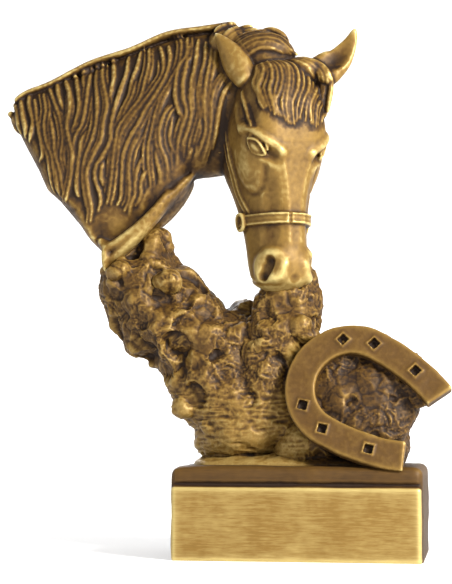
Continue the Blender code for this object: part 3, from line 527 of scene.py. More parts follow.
def antique_gold(name, streak_scale=(1.0, 1.0, 1.0), streak_strength=0.10, grain_mm=0.6, brightness=1.0):
    """Antique gold paint on cast resin: brown ground, dark wash, dry-brushed gold.

    The gold powder in its binder gives a soft metallic sheen on the rubbed ridges, while the wash
    in the recesses stays dull.
    """
    colours = bpy.context.scene.trophy_colours
    made = bpy.data.materials.new(name)
    made.use_nodes = True
    tree = made.node_tree
    shader = tree.nodes["Principled BSDF"]
    place = add_node(tree, "ShaderNodeTexCoord", (-1500, 0))
    level = add_node(tree, "ShaderNodeAttribute", (-1100, 300), {"attribute_name": "gold"})
    stretch = add_node(tree, "ShaderNodeMapping", (-1300, 0), inputs={"Scale": streak_scale},
                       links=[(place.outputs["Object"], "Vector")])
    streaks = add_node(tree, "ShaderNodeTexNoise", (-1100, 0),
                       inputs={"Scale": 1.0 / (grain_mm * MM), "Detail": 4.0, "Roughness": 0.6},
                       links=[(stretch.outputs["Vector"], "Vector")])
    cloud = add_node(tree, "ShaderNodeTexNoise", (-1100, -250),
                     inputs={"Scale": 1.0 / (7.0 * MM), "Detail": 3.0, "Roughness": 0.55},
                     links=[(place.outputs["Object"], "Vector")])
    streak_shift = add_node(tree, "ShaderNodeMath", (-900, 0), {"operation": "MULTIPLY_ADD"},
                            {1: streak_strength * 2.0, 2: -streak_strength},
                            [(streaks.outputs["Fac"], 0)])
    cloud_shift = add_node(tree, "ShaderNodeMath", (-900, -250), {"operation": "MULTIPLY_ADD"},
                           {1: 0.16, 2: -0.08}, [(cloud.outputs["Fac"], 0)])
    both = add_node(tree, "ShaderNodeMath", (-720, -100), {"operation": "ADD"},
                    links=[(streak_shift.outputs[0], 0), (cloud_shift.outputs[0], 1)])
    amount = add_node(tree, "ShaderNodeMath", (-560, 200), {"operation": "ADD", "use_clamp": True},
                      links=[(level.outputs["Fac"], 0), (both.outputs[0], 1)])
    paint = add_node(tree, "ShaderNodeValToRGB", (-380, 300), links=[(amount.outputs[0], "Fac")])
    shades = (colours.wash, colours.umber, colours.bronze, colours.gold)
    stops = [(share, tuple(min(1.0, c * brightness) for c in shade))
             for share, shade in zip((0.04, 0.36, 0.66, 0.98), shades)]
    ramp_stops(paint, stops)
    dull = add_node(tree, "ShaderNodeMapRange", (-380, 0),
                    inputs={"From Min": 0.1, "From Max": 0.9, "To Min": 0.66, "To Max": 0.40},
                    links=[(amount.outputs[0], "Value")])
    metal = add_node(tree, "ShaderNodeMapRange", (-380, -250),
                     inputs={"From Min": 0.3, "From Max": 0.95, "To Min": 0.0, "To Max": 0.35},
                     links=[(amount.outputs[0], "Value")])
    bump = add_node(tree, "ShaderNodeBump", (-180, -450), inputs={"Strength": 0.35, "Distance": 0.12 * MM},
                    links=[(streaks.outputs["Fac"], "Height")])
    tree.links.new(paint.outputs["Color"], shader.inputs["Base Color"])
    tree.links.new(dull.outputs["Result"], shader.inputs["Roughness"])
    tree.links.new(metal.outputs["Result"], shader.inputs["Metallic"])
    tree.links.new(bump.outputs["Normal"], shader.inputs["Normal"])
    shader.inputs["Specular IOR Level"].default_value = 0.18
    return made


def camera_ways():
    """The camera's right, up and forward ways, and the point that it looks at."""
    right = Vector((math.cos(CAMERA_TURN), math.sin(CAMERA_TURN), 0.0))
    level = math.cos(CAMERA_TILT)
    view = Vector((-math.sin(CAMERA_TURN) * level, math.cos(CAMERA_TURN) * level, math.sin(CAMERA_TILT)))
    target = right * -MIDDLE_LEFT + Vector((0.0, 0.0, MIDDLE_HEIGHT))
    return right, right.cross(view), view, target


def picture_path(points, plane, tree=None):
    """Side places and heights that picture points show, on a ray tree or else on an upright plane."""
    right, up, view, target = camera_ways()
    eye = (target - view * CAMERA_DISTANCE) / MM - Vector((FIGURE_SHIFT, 0.0, PHOTO_PLINTH))
    path = []
    for px, py in points:
        aside = right * (px - PICTURE_WIDTH / 2.0) + up * (PICTURE_HEIGHT / 2.0 - py)
        way = (view * CAMERA_DISTANCE + aside * PICTURE_SCALE).normalized()
        place = tree.ray_cast(eye, way)[0] if tree else None
        if place is None:
            place = eye + way * ((plane - eye.y) / way.y)
        path.append((place.x, place.z))
    return path


def finish_piece(piece, paint):
    """Give a finished piece its paint and tie it to the casting."""
    piece.data.materials.clear()
    piece.data.materials.append(paint)
    smooth_faces(piece.data)
    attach(piece, "root")
    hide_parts(CASTING)


def head_length():
    return bpy.context.scene.trophy_sizes.head_length


def head_to_figure(points):
    """Turn height down the head, front and side into figure coordinates."""
    points = np.asarray(points, dtype=float)
    front = np.array((math.cos(HEAD_YAW), -math.sin(HEAD_YAW)))
    side = np.array((-math.sin(HEAD_YAW), -math.cos(HEAD_YAW)))
    placed = np.empty_like(points)
    placed[:, :2] = np.array(HEAD_FRONT) + points[:, 1:2] * front + points[:, 2:3] * side
    placed[:, 2] = HEAD_TOP - points[:, 0]
    return placed


def cheek_point(down, front, cheek, lift=0.0):
    """The skull's surface at a height and front place, raised by lift, and its outward way."""
    front_line, rear_line, half, narrow, square = smooth_table(HEAD_STATIONS, [down / head_length()])[0]
    centre = (front_line + rear_line) / 2.0
    depth = (front_line - rear_line) / 2.0
    along = min(0.98, max(-0.98, (front - centre) / depth))
    across = (1.0 - abs(along) ** square) ** (1.0 / square)
    side = half * (1.0 - narrow * along) * across
    slope_front = math.copysign(abs(along) ** (square - 1.0), along) / depth
    slope_side = across ** (square - 1.0) / half
    outward = np.array((0.0, slope_front, slope_side))
    outward /= np.linalg.norm(outward)
    point = np.array((down, front, side)) + outward * lift
    return point * (1.0, 1.0, cheek), outward * (1.0, 1.0, cheek)


def stroke(points, path, radius, lift):
    """Raise or sink both cheeks along a path of height and front places, in even overlapping dabs."""
    length = sum(math.dist(a, b) for a, b in zip(path, path[1:]))
    dabs = 1 + math.ceil(4.0 * length / radius)
    reached = min(1.8, max(0.6, 0.48 * radius * (3 * len(path) - 1) / length))
    share_of_lift = reached / 4.27
    for cheek in (1.0, -1.0):
        for i in range(dabs):
            down, front = along_path(path, i / (dabs - 1))
            centre, outward = cheek_point(down, front, cheek)
            press(points, centre, radius, outward * lift * share_of_lift)


def head_skull(around=220, along=240):
    """The head without its small parts, moulded from stations and pressed into shape."""
    ball = sphere_mesh(around, along)
    share, angle = ball_shares(ball)
    down = (1.0 - np.cos(share * math.pi)) / 2.0
    front, rear, half, narrow, square = smooth_table(HEAD_STATIONS, down).T
    close = rounded_end(down, 0.06)
    centre = (front + rear) / 2.0
    depth = (front - rear) / 2.0 * close
    bend = 2.0 / square
    along_front = np.sign(np.cos(angle)) * np.abs(np.cos(angle)) ** bend
    along_side = np.sign(np.sin(angle)) * np.abs(np.sin(angle)) ** bend
    points = np.empty((len(ball.verts), 3))
    points[:, 0] = down * head_length()
    points[:, 1] = centre + depth * along_front
    points[:, 2] = half * close * (1.0 - narrow * along_front) * along_side
    # Temple hollow, brow and eye socket
    stroke(points, ((15.0, -6.5), (19.5, -6.0)), 4.5, -0.4)
    stroke(points, ((13.0, -13.5), (18.0, -11.5), (21.5, -9.0)), 1.6, 0.8)
    stroke(points, ((20.5, -9.5), (21.5, -5.5), (24.5, -2.0), (28.5, 0.0)), 2.4, 1.3)
    stroke(points, ((24.0, -6.4), (26.5, -3.8), (29.2, -1.4)), 3.0, -1.5)
    # Cheek plate with its rim, and the hollow between it and the nose
    stroke(points, ((28.0, -10.5), (34.5, -10.0)), 6.5, 0.7)
    stroke(points, ((25.0, -15.2), (31.0, -15.4), (36.0, -13.2), (38.6, -9.5), (37.0, -6.4)), 1.5, -0.45)
    stroke(points, ((26.5, -13.0), (31.5, -13.0), (35.5, -11.5), (36.5, -9.0)), 1.2, 0.40)
    stroke(points, ((37.5, -6.5), (33.5, -4.6), (30.8, -3.6)), 1.6, -0.35)
    stroke(points, ((33.0, -3.4), (42.0, -4.5), (52.0, -5.5)), 3.8, -0.6)
    # Bridge of the nose with its two edges
    stroke(points, ((30.0, -0.35), (40.0, -1.1), (52.0, -1.75)), 1.5, 0.35)
    # Throat side of the jaw, nostrils, lips and chin
    press(points, (47.0, -23.0, 0.0), 7.0, (0.0, 2.4, 0.0))
    stroke(points, ((55.5, -3.0), (54.8, -5.5), (57.0, -8.5), (61.0, -8.8)), 2.8, 0.75)
    stroke(points, ((57.0, -1.9), (60.5, -2.4), (62.3, -4.5)), 2.6, 0.6)
    stroke(points, ((56.8, -4.6), (58.6, -5.0), (60.4, -6.0), (61.2, -7.0)), 1.9, -2.8)
    stroke(points, ((58.2, -5.6), (60.0, -6.4)), 1.5, -1.2)
    stroke(points, ((64.0, -4.5), (63.6, -8.0), (62.8, -12.5), (60.0, -17.0)), 1.2, -1.0)
    press(points, (61.5, -17.5, 0.0), 6.0, (0.5, -1.6, 0.0))
    press(points, (62.0, -1.5, 0.0), 2.2, (0.0, -0.5, 0.0))
    set_points(ball, head_to_figure(points))
    return ball


def cheek_limb(path, cheek, around=16, along=60, end=0.12):
    """A strip on the cheek: rows of height, front, lift, half width and half depth."""
    stations = []
    ways = []
    for down, front, lift, width, depth in path:
        point, outward = cheek_point(down, front, cheek, lift)
        stations.append((*head_to_figure([point])[0], width, depth))
        origin, tip = head_to_figure([(0.0, 0.0, 0.0), outward])
        ways.append(tip - origin)
    side = np.mean(ways, axis=0)
    return limb(stations, around=around, along=along, end=end, side=side / np.linalg.norm(side))


def eyes():
    """Almond eyeballs, each between an upper and a lower lid, under a folded brow."""
    forms = []
    rear = np.array((23.9, -6.8))
    fore = np.array((28.6, -2.7))
    across = np.array((-1.0, 0.75))
    for cheek in (1.0, -1.0):
        ball = []
        upper_lid, lower_lid, fold = [], [], []
        for i in range(9):
            share = i / 8.0
            place = rear + (fore - rear) * share
            swell = math.sin(math.pi * share)
            rest = 0.0 if cheek > 0.0 else -0.35
            ball.append((*place, rest - 0.95, 0.2 + 1.25 * swell, 0.4 + 1.15 * swell))
            upper_lid.append((*(place + across * (1.45 * swell)), rest + 0.1, 0.42, 0.7))
            lower_lid.append((*(place - across * (1.3 * swell)), rest - 0.05, 0.36, 0.5))
            fold.append((*(place + across * (0.8 + 2.2 * swell)), rest + 0.2, 0.36, 0.4))
        forms.append(cheek_limb(ball, cheek, around=24, along=40))
        forms += [cheek_limb(lid, cheek) for lid in (upper_lid, lower_lid, fold)]
    return forms


def noseband():
    """The strap around the nose, its side rings and the cheek straps."""
    forms = []
    down = 45.4
    for rise, width, depth in ((0.0, 0.75, 1.3), (-1.15, 0.95, 0.36), (1.15, 1.0, 0.42)):
        around = []
        for cheek, order in ((1.0, 1), (-1.0, -1)):
            fronts = [-1.8 - 19.2 * (0.5 - 0.5 * math.cos(math.pi * i / 12.0)) for i in range(13)]
            for front in fronts[::order]:
                point, _ = cheek_point(down + rise, front, cheek, 0.15)
                around.append((*head_to_figure([point])[0], width, depth))
        around.append(around[0])
        forms.append(limb(around, around=14, along=160, end=0.004, side=(0.0, 0.0, 1.0)))
    for cheek in (1.0, -1.0):
        ring = []
        for i in range(15):
            angle = 2.0 * math.pi * i / 14
            place = (45.9 + 2.2 * math.cos(angle), -14.4 + 1.6 * math.sin(angle))
            ring.append((*place, 1.2, 0.55, 0.7))
        forms.append(cheek_limb(ring, cheek, end=0.01))
        for shift in (-0.75, 0.75):
            strap = []
            for place in ((43.6, -12.6), (38.0, -15.8), (32.0, -17.2), (26.5, -17.8), (18.8, -18.5), (11.0, -16.0)):
                strap.append((place[0], place[1] + shift, 0.15, 0.4, 0.45))
            forms.append(cheek_limb(strap, cheek, along=80))
        band = []
        for place in ((43.0, -12.8), (38.0, -15.8), (32.0, -17.2), (26.5, -17.8), (18.8, -18.5), (11.0, -16.0)):
            band.append((*place, 0.0, 0.9, 0.35))
        forms.append(cheek_limb(band, cheek, along=80))
    return forms


def ear(base, tip, bow, widths, half_depth, opening, hollow):
    """A cupped ear from its base to its tip, hollowed on the side that it opens to."""
    base = np.array(base)
    tip = np.array(tip)
    bow = np.array(bow)
    stations = [
        (*base, widths[0], half_depth),
        (*(base * 0.72 + tip * 0.28 + bow * 0.6), widths[1], half_depth),
        (*((base + tip) / 2.0 + bow), widths[2], half_depth * 0.8),
        (*(base * 0.22 + tip * 0.78 + bow * 0.7), widths[3], half_depth * 0.5),
        (*tip, widths[4], half_depth * 0.25),
    ]
    ball = limb(stations, around=72, along=80, end=0.08, side=opening)
    points = np.array([vertex.co for vertex in ball.verts])
    opening = np.array(opening) / np.linalg.norm(opening)
    for share, depth in ((0.2, 0.5), (0.32, 0.75), (0.44, 0.8), (0.56, 0.7), (0.68, 0.55), (0.8, 0.3)):
        row = along_path([s[:3] for s in stations], share)
        press(points, row + opening * half_depth, widths[1] * 0.85, -opening * half_depth * depth * hollow)
    set_points(ball, points)
    return ball


def ears():
    near_widths = (2.6, 3.9, 3.5, 1.9, 0.5)
    far_widths = (5.0, 4.9, 3.7, 2.1, 0.6)
    near = ear((-12.6, -9.5, 104.2), (-22.6, -6.5, 120.0), (0.0, 0.0, 1.0), near_widths, 3.2, (0.25, 0.95, -0.1), 0.6)
    far = ear((5.2, -4.0, 107.4), (16.3, -2.5, 120.9), (1.1, 0.0, -1.9), far_widths, 3.0, (0.1, -0.95, 0.3), 0.55)
    return [near, far]


def neck():
    """The neck without its mane, thin at the crest and round at the throat."""
    stations = (
        (-8.0, 3.0, 103.5, 14.0, 9.5),
        (-22.2, 3.0, 102.1, 20.3, 12.0),
        (-38.9, 2.5, 98.6, 20.6, 12.5),
        (-53.5, 2.0, 88.3, 26.0, 13.0),
        (-71.6, 1.5, 79.5, 27.2, 11.5),
    )
    ball = limb(stations, around=130, along=120, end=0.05)
    points = np.array([vertex.co for vertex in ball.verts])
    # Thin the crest, which lies up and to the left of the neck's own line
    line = np.array([(row[0], row[2]) for row in stations])
    start = line[1]
    along = (line[-1] - line[1]) / np.linalg.norm(line[-1] - line[1])
    upward = np.array((along[1], -along[0]))
    rise = (points[:, [0, 2]] - start) @ upward
    thin = 1.0 - 0.45 * np.clip(rise / 26.0, 0.0, 1.0) ** 1.5
    points[:, 1] = 2.5 + (points[:, 1] - 2.5) * thin
    # The far end leaves its straight cut and follows the outline of the mane's hem
    pivot = -45.0
    straight = -60.9 - 0.428 * (points[:, 2] - 54.5)
    outline = np.interp(points[:, 2], [row[0] for row in NECK_END], [row[1] for row in NECK_END])
    share = (pivot - points[:, 0]) / (pivot - straight)
    points[:, 0] = np.where(share > 0.0, pivot - share * (pivot - outline), points[:, 0])
    # Hollow in the skin below the hem
    press(points, (-54.0, -10.5, 63.0), 6.5, (0.0, 1.4, 0.0))
    set_points(ball, points)
    return ball


def throat_bands():
    """The two rolled edges where the neck ends above the rock."""
    outer = (
        (-55.0, -5.0, 61.8, 1.6, 3.4),
        (-51.8, -7.8, 60.2, 1.7, 3.6),
        (-44.2, -8.8, 65.2, 1.6, 3.6),
        (-38.8, -8.6, 70.4, 1.5, 3.4),
        (-34.5, -7.0, 76.0, 1.3, 3.0),
    )
    inner = (
        (-54.0, -5.5, 53.5, 1.7, 3.6),
        (-48.5, -7.5, 57.5, 1.8, 3.8),
        (-42.5, -8.4, 62.6, 1.7, 3.8),
        (-38.0, -8.0, 67.6, 1.6, 3.6),
        (-34.6, -7.0, 72.4, 1.5, 3.4),
        (-27.6, -4.0, 80.4, 1.4, 3.2),
    )
    drip = ((-53.6, -8.0, 60.0, 1.2, 1.6), (-53.6, -7.8, 56.5, 1.1, 1.6), (-53.4, -7.2, 53.0, 0.8, 1.2))
    bed = ((-54.0, -2.0, 57.5, 2.8, 3.6), (-46.8, -3.6, 62.9, 2.2, 3.4), (-40.0, -3.2, 70.0, 1.8, 3.0),
           (-31.0, -1.0, 77.8, 1.2, 2.2))
    forms = []
    for path, shift in ((outer, 0.4), (inner, 1.2)):
        forms.append(limb([(x - shift, y + 1.5, z + shift, half * 0.8, deep * 0.85) for x, y, z, half, deep in path], 20, 70))
    return forms + [limb(drip, around=16, along=24), limb(bed, around=32, along=48)]


def tree_of(forms):
    """A ray tree over several forms."""
    whole = bmesh.new()
    for form in forms:
        scrap = bpy.data.meshes.new("scrap")
        form.to_mesh(scrap)
        whole.from_mesh(scrap)
        bpy.data.meshes.remove(scrap)
    tree = BVHTree.FromBMesh(whole)
    whole.free()
    return tree


def laid_lock(tree, path, radius, sink=0.0, side=-1.0, start=0.9, tip=0.4, loose=True):
    """A tapered lock laid on the surface below a path in the picture plane."""
    stations = []
    level = None
    landed = 0
    places = 3 * len(path)
    for i in range(places):
        t = i / (places - 1)
        x, z = along_path(path, t)
        hit = tree.ray_cast(Vector((x, side * 80.0, z)), Vector((0.0, -side, 0.0)))
        if hit[0] is not None:
            level = hit[0].y
            landed += 1
        elif level is None:
            level = tree.find_nearest(Vector((x, side * 2.0, z)))[0].y
        elif landed > 3 and not loose:
            break
        rise = min(1.0, t / 0.25)
        fall = min(1.0, (1.0 - t) / 0.35)
        thick = radius * (start + (1.0 - start) * math.sin(rise * math.pi / 2.0))
        thick *= tip + (1.0 - tip) * math.sin(fall * math.pi / 2.0)
        stations.append((x, level - side * thick * sink, z, thick, thick))
    return limb(stations, around=16, along=4 * places, end=0.04)


def mane(tree, strands, radius):
    """Strands combed from the crest over the near side of the neck, each along its own path."""
    rng = np.random.default_rng(5)
    forms = []
    for strand in strands:
        crest = np.interp(-strand[0][0], [-row[1] for row in MANE_ROOTS], [row[2] for row in MANE_ROOTS])
        start = 0.65 if strand[0][1] > crest - 5.0 else 0.35
        thick = radius * rng.uniform(0.88, 1.12)
        forms.append(laid_lock(tree, strand, thick, sink=0.05, start=start))
    return forms


def under_locks(tree, strands, count, radius):
    """Thin locks that show between the strands, along their general fall."""
    rng = np.random.default_rng(6)
    forms = []
    long_ones = [strand for strand in strands if len(strand) > 6]
    for _ in range(count):
        pick = int(rng.integers(0, len(long_ones)))
        shift = np.array((rng.uniform(0.9, 1.5) * rng.choice((-1.0, 1.0)), 0.0))
        strand = np.array(long_ones[pick]) + shift
        first = int(rng.integers(0, 3))
        last = len(strand) - int(rng.integers(0, 3))
        forms.append(laid_lock(tree, strand[first:last], radius * rng.uniform(0.8, 1.2), sink=-0.25, start=0.4))
    return forms


def crest_locks(tree, count, radius):
    """Locks that roll over the crest and hang on the far side."""
    rng = np.random.default_rng(8)
    forms = []
    for i in range(count):
        place = 0.93 * (i + 0.3) / count
        root = smooth_table(MANE_ROOTS, [place])[0] + (0.0, 0.6)
        length = rng.uniform(16.0, 26.0) * (1.0 - 0.55 * place)
        lean = rng.uniform(-3.0, 1.0)
        wave = rng.uniform(-1.2, 1.2)
        path = []
        for t in np.linspace(0.0, 1.0, 6):
            path.append(root + np.array((lean * t + wave * math.sin(2.0 * math.pi * t), -length * t)))
        forms.append(laid_lock(tree, path, radius * rng.uniform(0.8, 1.15), side=1.0, sink=0.1, start=0.72, loose=False))
    roll = []
    for place in np.linspace(0.0, 0.95, 40):
        x, z = smooth_table(MANE_ROOTS, [place])[0]
        level = tree.find_nearest(Vector((x, 0.8, z)))[0].y
        roll.append((x, 0.5 * (level + 0.8), z + 0.2, 1.05, 2.4))
    forms.append(limb(roll, around=24, along=160, end=0.03))
    return forms


def between(first, second, share):
    """A path that lies between two others."""
    places = np.linspace(0.0, 1.0, 8)
    return [along_path(first, t) * (1.0 - share) + along_path(second, t) * share for t in places]


def combed(tree, strands, radius, seed, start):
    """Strands laid side by side, with thinner ones in the gaps."""
    rng = np.random.default_rng(seed)
    forms = []
    for strand in strands:
        forms.append(laid_lock(tree, strand, radius * rng.uniform(0.85, 1.15), sink=0.05, start=start))
    for first, second in zip(strands, strands[1:]):
        if np.linalg.norm(np.array(first[0]) - second[0]) < 4.0:
            thin = laid_lock(tree, between(first, second, rng.uniform(0.4, 0.6)), radius * 0.7, sink=-0.2, start=start)
            forms.append(thin)
    return forms


def poll_mound():
    """The mass of hair over the poll, under its strands."""
    return [
        blob((-20.0, 0.0, 117.3), (6.2, 5.5, 6.0), 0.0, 40, 30),
        blob((-10.5, -1.0, 114.0), (9.8, 8.0, 6.9), 0.0, 48, 36),
        blob((1.5, -1.5, 109.3), (6.5, 6.5, 4.0), 0.0, 40, 30),
        blob((-79.3, 2.0, 97.6), (4.6, 6.0, 3.2), 0.5, 32, 24),
    ]


def to_strands(points, strands):
    """Distance in the picture plane from points to the nearest of some strands."""
    marks = np.array([along_path(strand, t) for strand in strands for t in np.linspace(0.0, 1.0, 14)])
    nearest = np.full(len(points), 1000.0)
    for mark in marks:
        nearest = np.minimum(nearest, np.hypot(points[:, 0] - mark[0], points[:, 2] - mark[1]))
    return nearest


def horse_paint(points, forelock, tuft):
    """Ground level of gold and its gain on ridges: smooth bright face, brown hair with pale crests."""
    x, y, z = points.T
    front = np.array((math.cos(HEAD_YAW), -math.sin(HEAD_YAW)))
    ahead = (points[:, :2] - np.array(HEAD_FRONT)) @ front
    face = (ahead > -20.0) & (x > -19.0) & (z < 107.0 - 0.25 * np.abs(x))
    face |= (x > 3.0) & (z > 110.0)
    hair = to_strands(points, forelock) < 1.5
    hair = hair & (y < 3.0) & (z > 91.0)
    near_ear = (to_strands(points, [((-12.6, 103.5), (-22.8, 120.5))]) < 5.0) & (y < -4.0)
    fringe = np.clip((96.0 - z) / 8.0, 0.0, 1.0)
    zone = np.where(face & ~hair, 0.44 + 0.09 * fringe, 0.21)
    zone = np.where((to_strands(points, tuft) < 2.5) & ~near_ear & ~face, 0.10, zone)
    zone = np.where(near_ear, 0.44, zone)
    skin = np.exp(-(((x + 47.0) / 9.0) ** 2 + ((z - 62.0) / 8.0) ** 2))
    gain = np.where((face & ~hair) | near_ear, 1.5, 4.0)
    return zone + 0.38 * skin, gain * (1.0 - 0.5 * skin)


def melt(mesh, share, rounds):
    """Smooth the skin by a share at each point, so that laid-on forms flow together."""
    points = mesh_points(mesh)
    smoothed = spread(points, edge_ends(mesh), len(points), rounds)
    put_points(mesh, points + (smoothed - points) * share[:, None])


class TROPHY_OT_horse(bpy.types.Operator):
    """Build the horse's head, neck and mane"""

    bl_idname = "trophy.horse"
    bl_label = "Horse"

    def execute(self, context):
        sizes = context.scene.trophy_sizes
        skull = head_skull()
        body = neck()
        mound = poll_mound()
        near_ear, far_ear = ears()
        neck_tree = tree_of([body])
        hair = [picture_path(points, MANE_PLANE, neck_tree) for points in MANE_POINTS]
        forelock = [picture_path(points, FORELOCK_PLANE) for points in FORELOCK_POINTS]
        tuft = [picture_path(points, TUFT_PLANE) for points in TUFT_POINTS]
        forms = [skull, body, near_ear, far_ear] + mound + eyes() + noseband() + throat_bands()
        forms += mane(neck_tree, hair, sizes.strand)
        forms += under_locks(neck_tree, hair, 60, sizes.strand * 0.62)
        forms += crest_locks(neck_tree, sizes.far_locks, sizes.strand * 1.5)
        brow_tree = tree_of([skull, body, far_ear] + mound)
        poll_tree = tree_of([skull, body] + mound)
        forms += combed(brow_tree, forelock, sizes.strand * 0.9, 3, 0.6)
        forms += combed(poll_tree, tuft, sizes.strand, 17, 0.5)
        piece = new_object("horse", join(forms))
        reskin(piece, HORSE_VOXEL, 1)
        points = mesh_points(piece.data)
        low = to_strands(points, [((-58.0, 52.0), (-46.0, 62.0), (-38.0, 70.0), (-29.0, 79.0))])
        throat = np.clip((7.5 - low) / 2.5, 0.0, 1.0) * (points[:, 1] < 2.0)
        melt(piece.data, throat, 60)
        points = mesh_points(piece.data)
        put_points(piece.data, points + mesh_normals(piece.data) * grain(points, 0.9, 0.05)[:, None])
        thin_out(piece, PIECE_TRIANGLES)
        zone, gain = horse_paint(mesh_points(piece.data), forelock, tuft)
        rub_gold(piece.data, zone, fine=gain, broad=0.45, fine_rounds=8)
        piece.data.transform(figure_stand())
        finish_piece(piece, antique_gold("antique_gold_on_the_horse", streak_strength=0.05))
        return {"FINISHED"}


# Skin finenesses in figure millimetres, and the most triangles in one piece
HORSE_VOXEL = 0.3
ROCK_VOXEL = 0.36
SHOE_VOXEL = 0.28
PLINTH_VOXEL = 0.42
PIECE_TRIANGLES = 190000


def grain(points, scale, depth):
    """Small unevenness of a hand-poured cast, by place."""
    return np.array([noise.noise(Vector(point) * scale) for point in points]) * depth


def rock_mass():
    """The forked rock: a stem, an arm under the neck, an arm behind the muzzle, and a foot."""
    left_arm = (
        (-13.6, 1.0, 1.0, 16.4, 15.0),
        (-16.2, 1.0, 14.0, 13.8, 14.0),
        (-23.0, 1.0, 24.0, 14.3, 13.5),
        (-28.4, 1.0, 33.5, 13.0, 13.0),
        (-37.8, 1.5, 41.5, 14.5, 12.5),
        (-44.4, 2.0, 51.0, 12.8, 12.0),
        (-46.8, 2.0, 62.0, 9.6, 10.5),
    )
    right_arm = (
        (-10.0, 1.0, 3.0, 15.0, 14.0),
        (-9.0, 1.0, 20.0, 12.5, 13.5),
        (-5.5, 0.5, 35.0, 10.8, 12.5),
        (-2.0, 0.0, 46.0, 9.2, 10.5),
        (0.8, 0.5, 52.5, 4.8, 7.5),
        (1.4, 1.0, 56.0, 2.2, 5.0),
    )
    foot = (
        (-6.0, 1.0, 3.0, 6.5, 15.5),
        (6.0, 0.0, 7.0, 9.0, 14.0),
        (16.0, 0.5, 12.0, 13.0, 11.5),
        (25.0, 2.0, 13.0, 9.5, 10.5),
    )
    skirt = (
        (-29.5, 1.0, 0.0, 2.2, 13.0),
        (-10.0, 1.0, 0.2, 3.0, 16.5),
        (10.0, 1.0, 0.2, 3.0, 16.0),
        (28.0, 2.0, 0.0, 2.4, 12.0),
    )
    forms = [limb(arm, 64, 80, 0.1) for arm in (left_arm, right_arm, skirt)]
    forms.append(limb(foot, 64, 80, 0.2))
    forms.append(blob((21.0, 2.5, 20.0), (11.0, 9.5, 14.0), 0.5))
    forms.append(blob((12.5, 1.5, 25.0), (12.0, 10.5, 12.5), 0.2))
    forms.append(blob((-18.5, 1.0, 34.0), (10.0, 10.5, 9.5)))
    forms.append(blob((17.0, 2.0, 31.5), (9.0, 7.0, 4.6), 0.35))
    forms.append(blob((23.6, 2.0, 6.0), (6.6, 9.0, 9.0)))
    forms.append(blob((-41.0, 0.5, 60.5), (5.5, 7.5, 6.5), 0.6, 40, 30))
    forms.append(blob((-17.5, 4.5, 40.6), (7.5, 6.0, 5.0), -0.35, 40, 30))
    return forms


def rock_lumps():
    """Knobs and ledges all over the rock, from a fixed seed."""
    rng = np.random.default_rng(11)
    forms = []
    spines = (
        ((-12.0, 4.0), (-44.0, 58.0), 15.5, 30),
        ((-10.0, 6.0), (0.0, 50.0), 12.5, 16),
        ((-2.0, 8.0), (26.0, 22.0), 11.0, 14),
    )
    for start, end, spread, count in spines:
        for side in (-1.0, 1.0):
            for _ in range(count // 2):
                share = rng.uniform(0.15, 1.0)
                reach = rng.uniform(-0.72, 0.7) * spread
                heading = Vector((end[0] - start[0], end[1] - start[1])).normalized()
                x = start[0] + (end[0] - start[0]) * share + heading.y * reach
                z = start[1] + (end[1] - start[1]) * share - heading.x * reach
                y = 1.0 + side * 11.0 * math.sqrt(max(0.05, 1.0 - (reach / spread) ** 2))
                size = rng.uniform(2.4, 4.6)
                flat = rng.uniform(0.55, 0.9)
                forms.append(blob((x, y, z), (size, size * 0.8, size * flat), rng.uniform(-0.6, 0.6), 12, 8))
    return forms


# Facets struck from the rock
ROCK_CHIPS = 210
THROW_REACH = 2.0

# Smooth scoops in the rock's front, by x, z, radius and depth in figure millimetres
ROCK_SCOOPS = (
    (-35.5, 45.5, 6.5, 2.4),
    (-28.0, 31.0, 6.0, 2.6),
    (-18.5, 41.0, 6.0, 2.4),
    (-20.0, 24.0, 5.0, 1.8),
    (-45.0, 57.0, 5.0, 1.6),
    (-3.0, 42.0, 5.5, 1.8),
    (-9.0, 30.0, 4.5, 1.5),
    (-27.0, 18.0, 4.0, 1.4),
)


def cells(place, size):
    """How far a place lies from the cracks between rounded cells of a size: 0 in them, 1 inside."""
    nearest = noise.voronoi(place / size)[0]
    return min(1.0, (nearest[1] - nearest[0]) * 2.2) ** 0.6


def crumble(points, normals):
    """Roughen the rock: rounded crumbs and smooth facets above, streaked bark near its foot."""
    depth = np.empty(len(points))
    for i, (x, y, z) in enumerate(points):
        place = Vector((x, y, z))
        warped = place + noise.noise_vector(place * 0.25) * 1.6
        rough = max(0.0, min(1.0, 0.45 + 2.0 * noise.noise(place * 0.13 + Vector((7.0, 3.0, 1.0)))))
        shape = noise.noise(place * 0.16) * 1.2 + (cells(warped, 7.0) - 0.7) * 0.5
        crest = 1.0 - min(1.0, 2.6 * abs(noise.noise(warped * 0.24)))
        small_crest = 1.0 - min(1.0, 2.4 * abs(noise.noise(warped * 0.55 + Vector((3.0, 9.0, 5.0)))))
        crumbs = crest * 0.42 + small_crest * 0.26 - 0.2
        grit = noise.noise(place * 1.9) * 0.16
        bark = 1.0 - 2.4 * abs(noise.noise(Vector((x * 0.16 + z * 0.10, y * 0.2, z * 0.85))))
        cross = 1.0 - 2.4 * abs(noise.noise(Vector((x * 0.5 - z * 0.35, y * 0.2, z * 0.55 + x * 0.25))))
        foot = max(0.0, min(1.0, (24.0 - z) / 7.0)) if x < 3.0 else 0.0
        broken = crumbs * (0.45 + 0.55 * rough) + grit * (0.4 + rough)
        depth[i] = shape * (1.0 - 0.5 * foot) + broken * (1.0 - 0.6 * foot) + (bark * 0.30 + cross * 0.16) * foot
    fade = np.clip((points[:, 2] - 0.3) / 2.5, 0.0, 1.0)
    return points + normals * (depth * fade)[:, None]


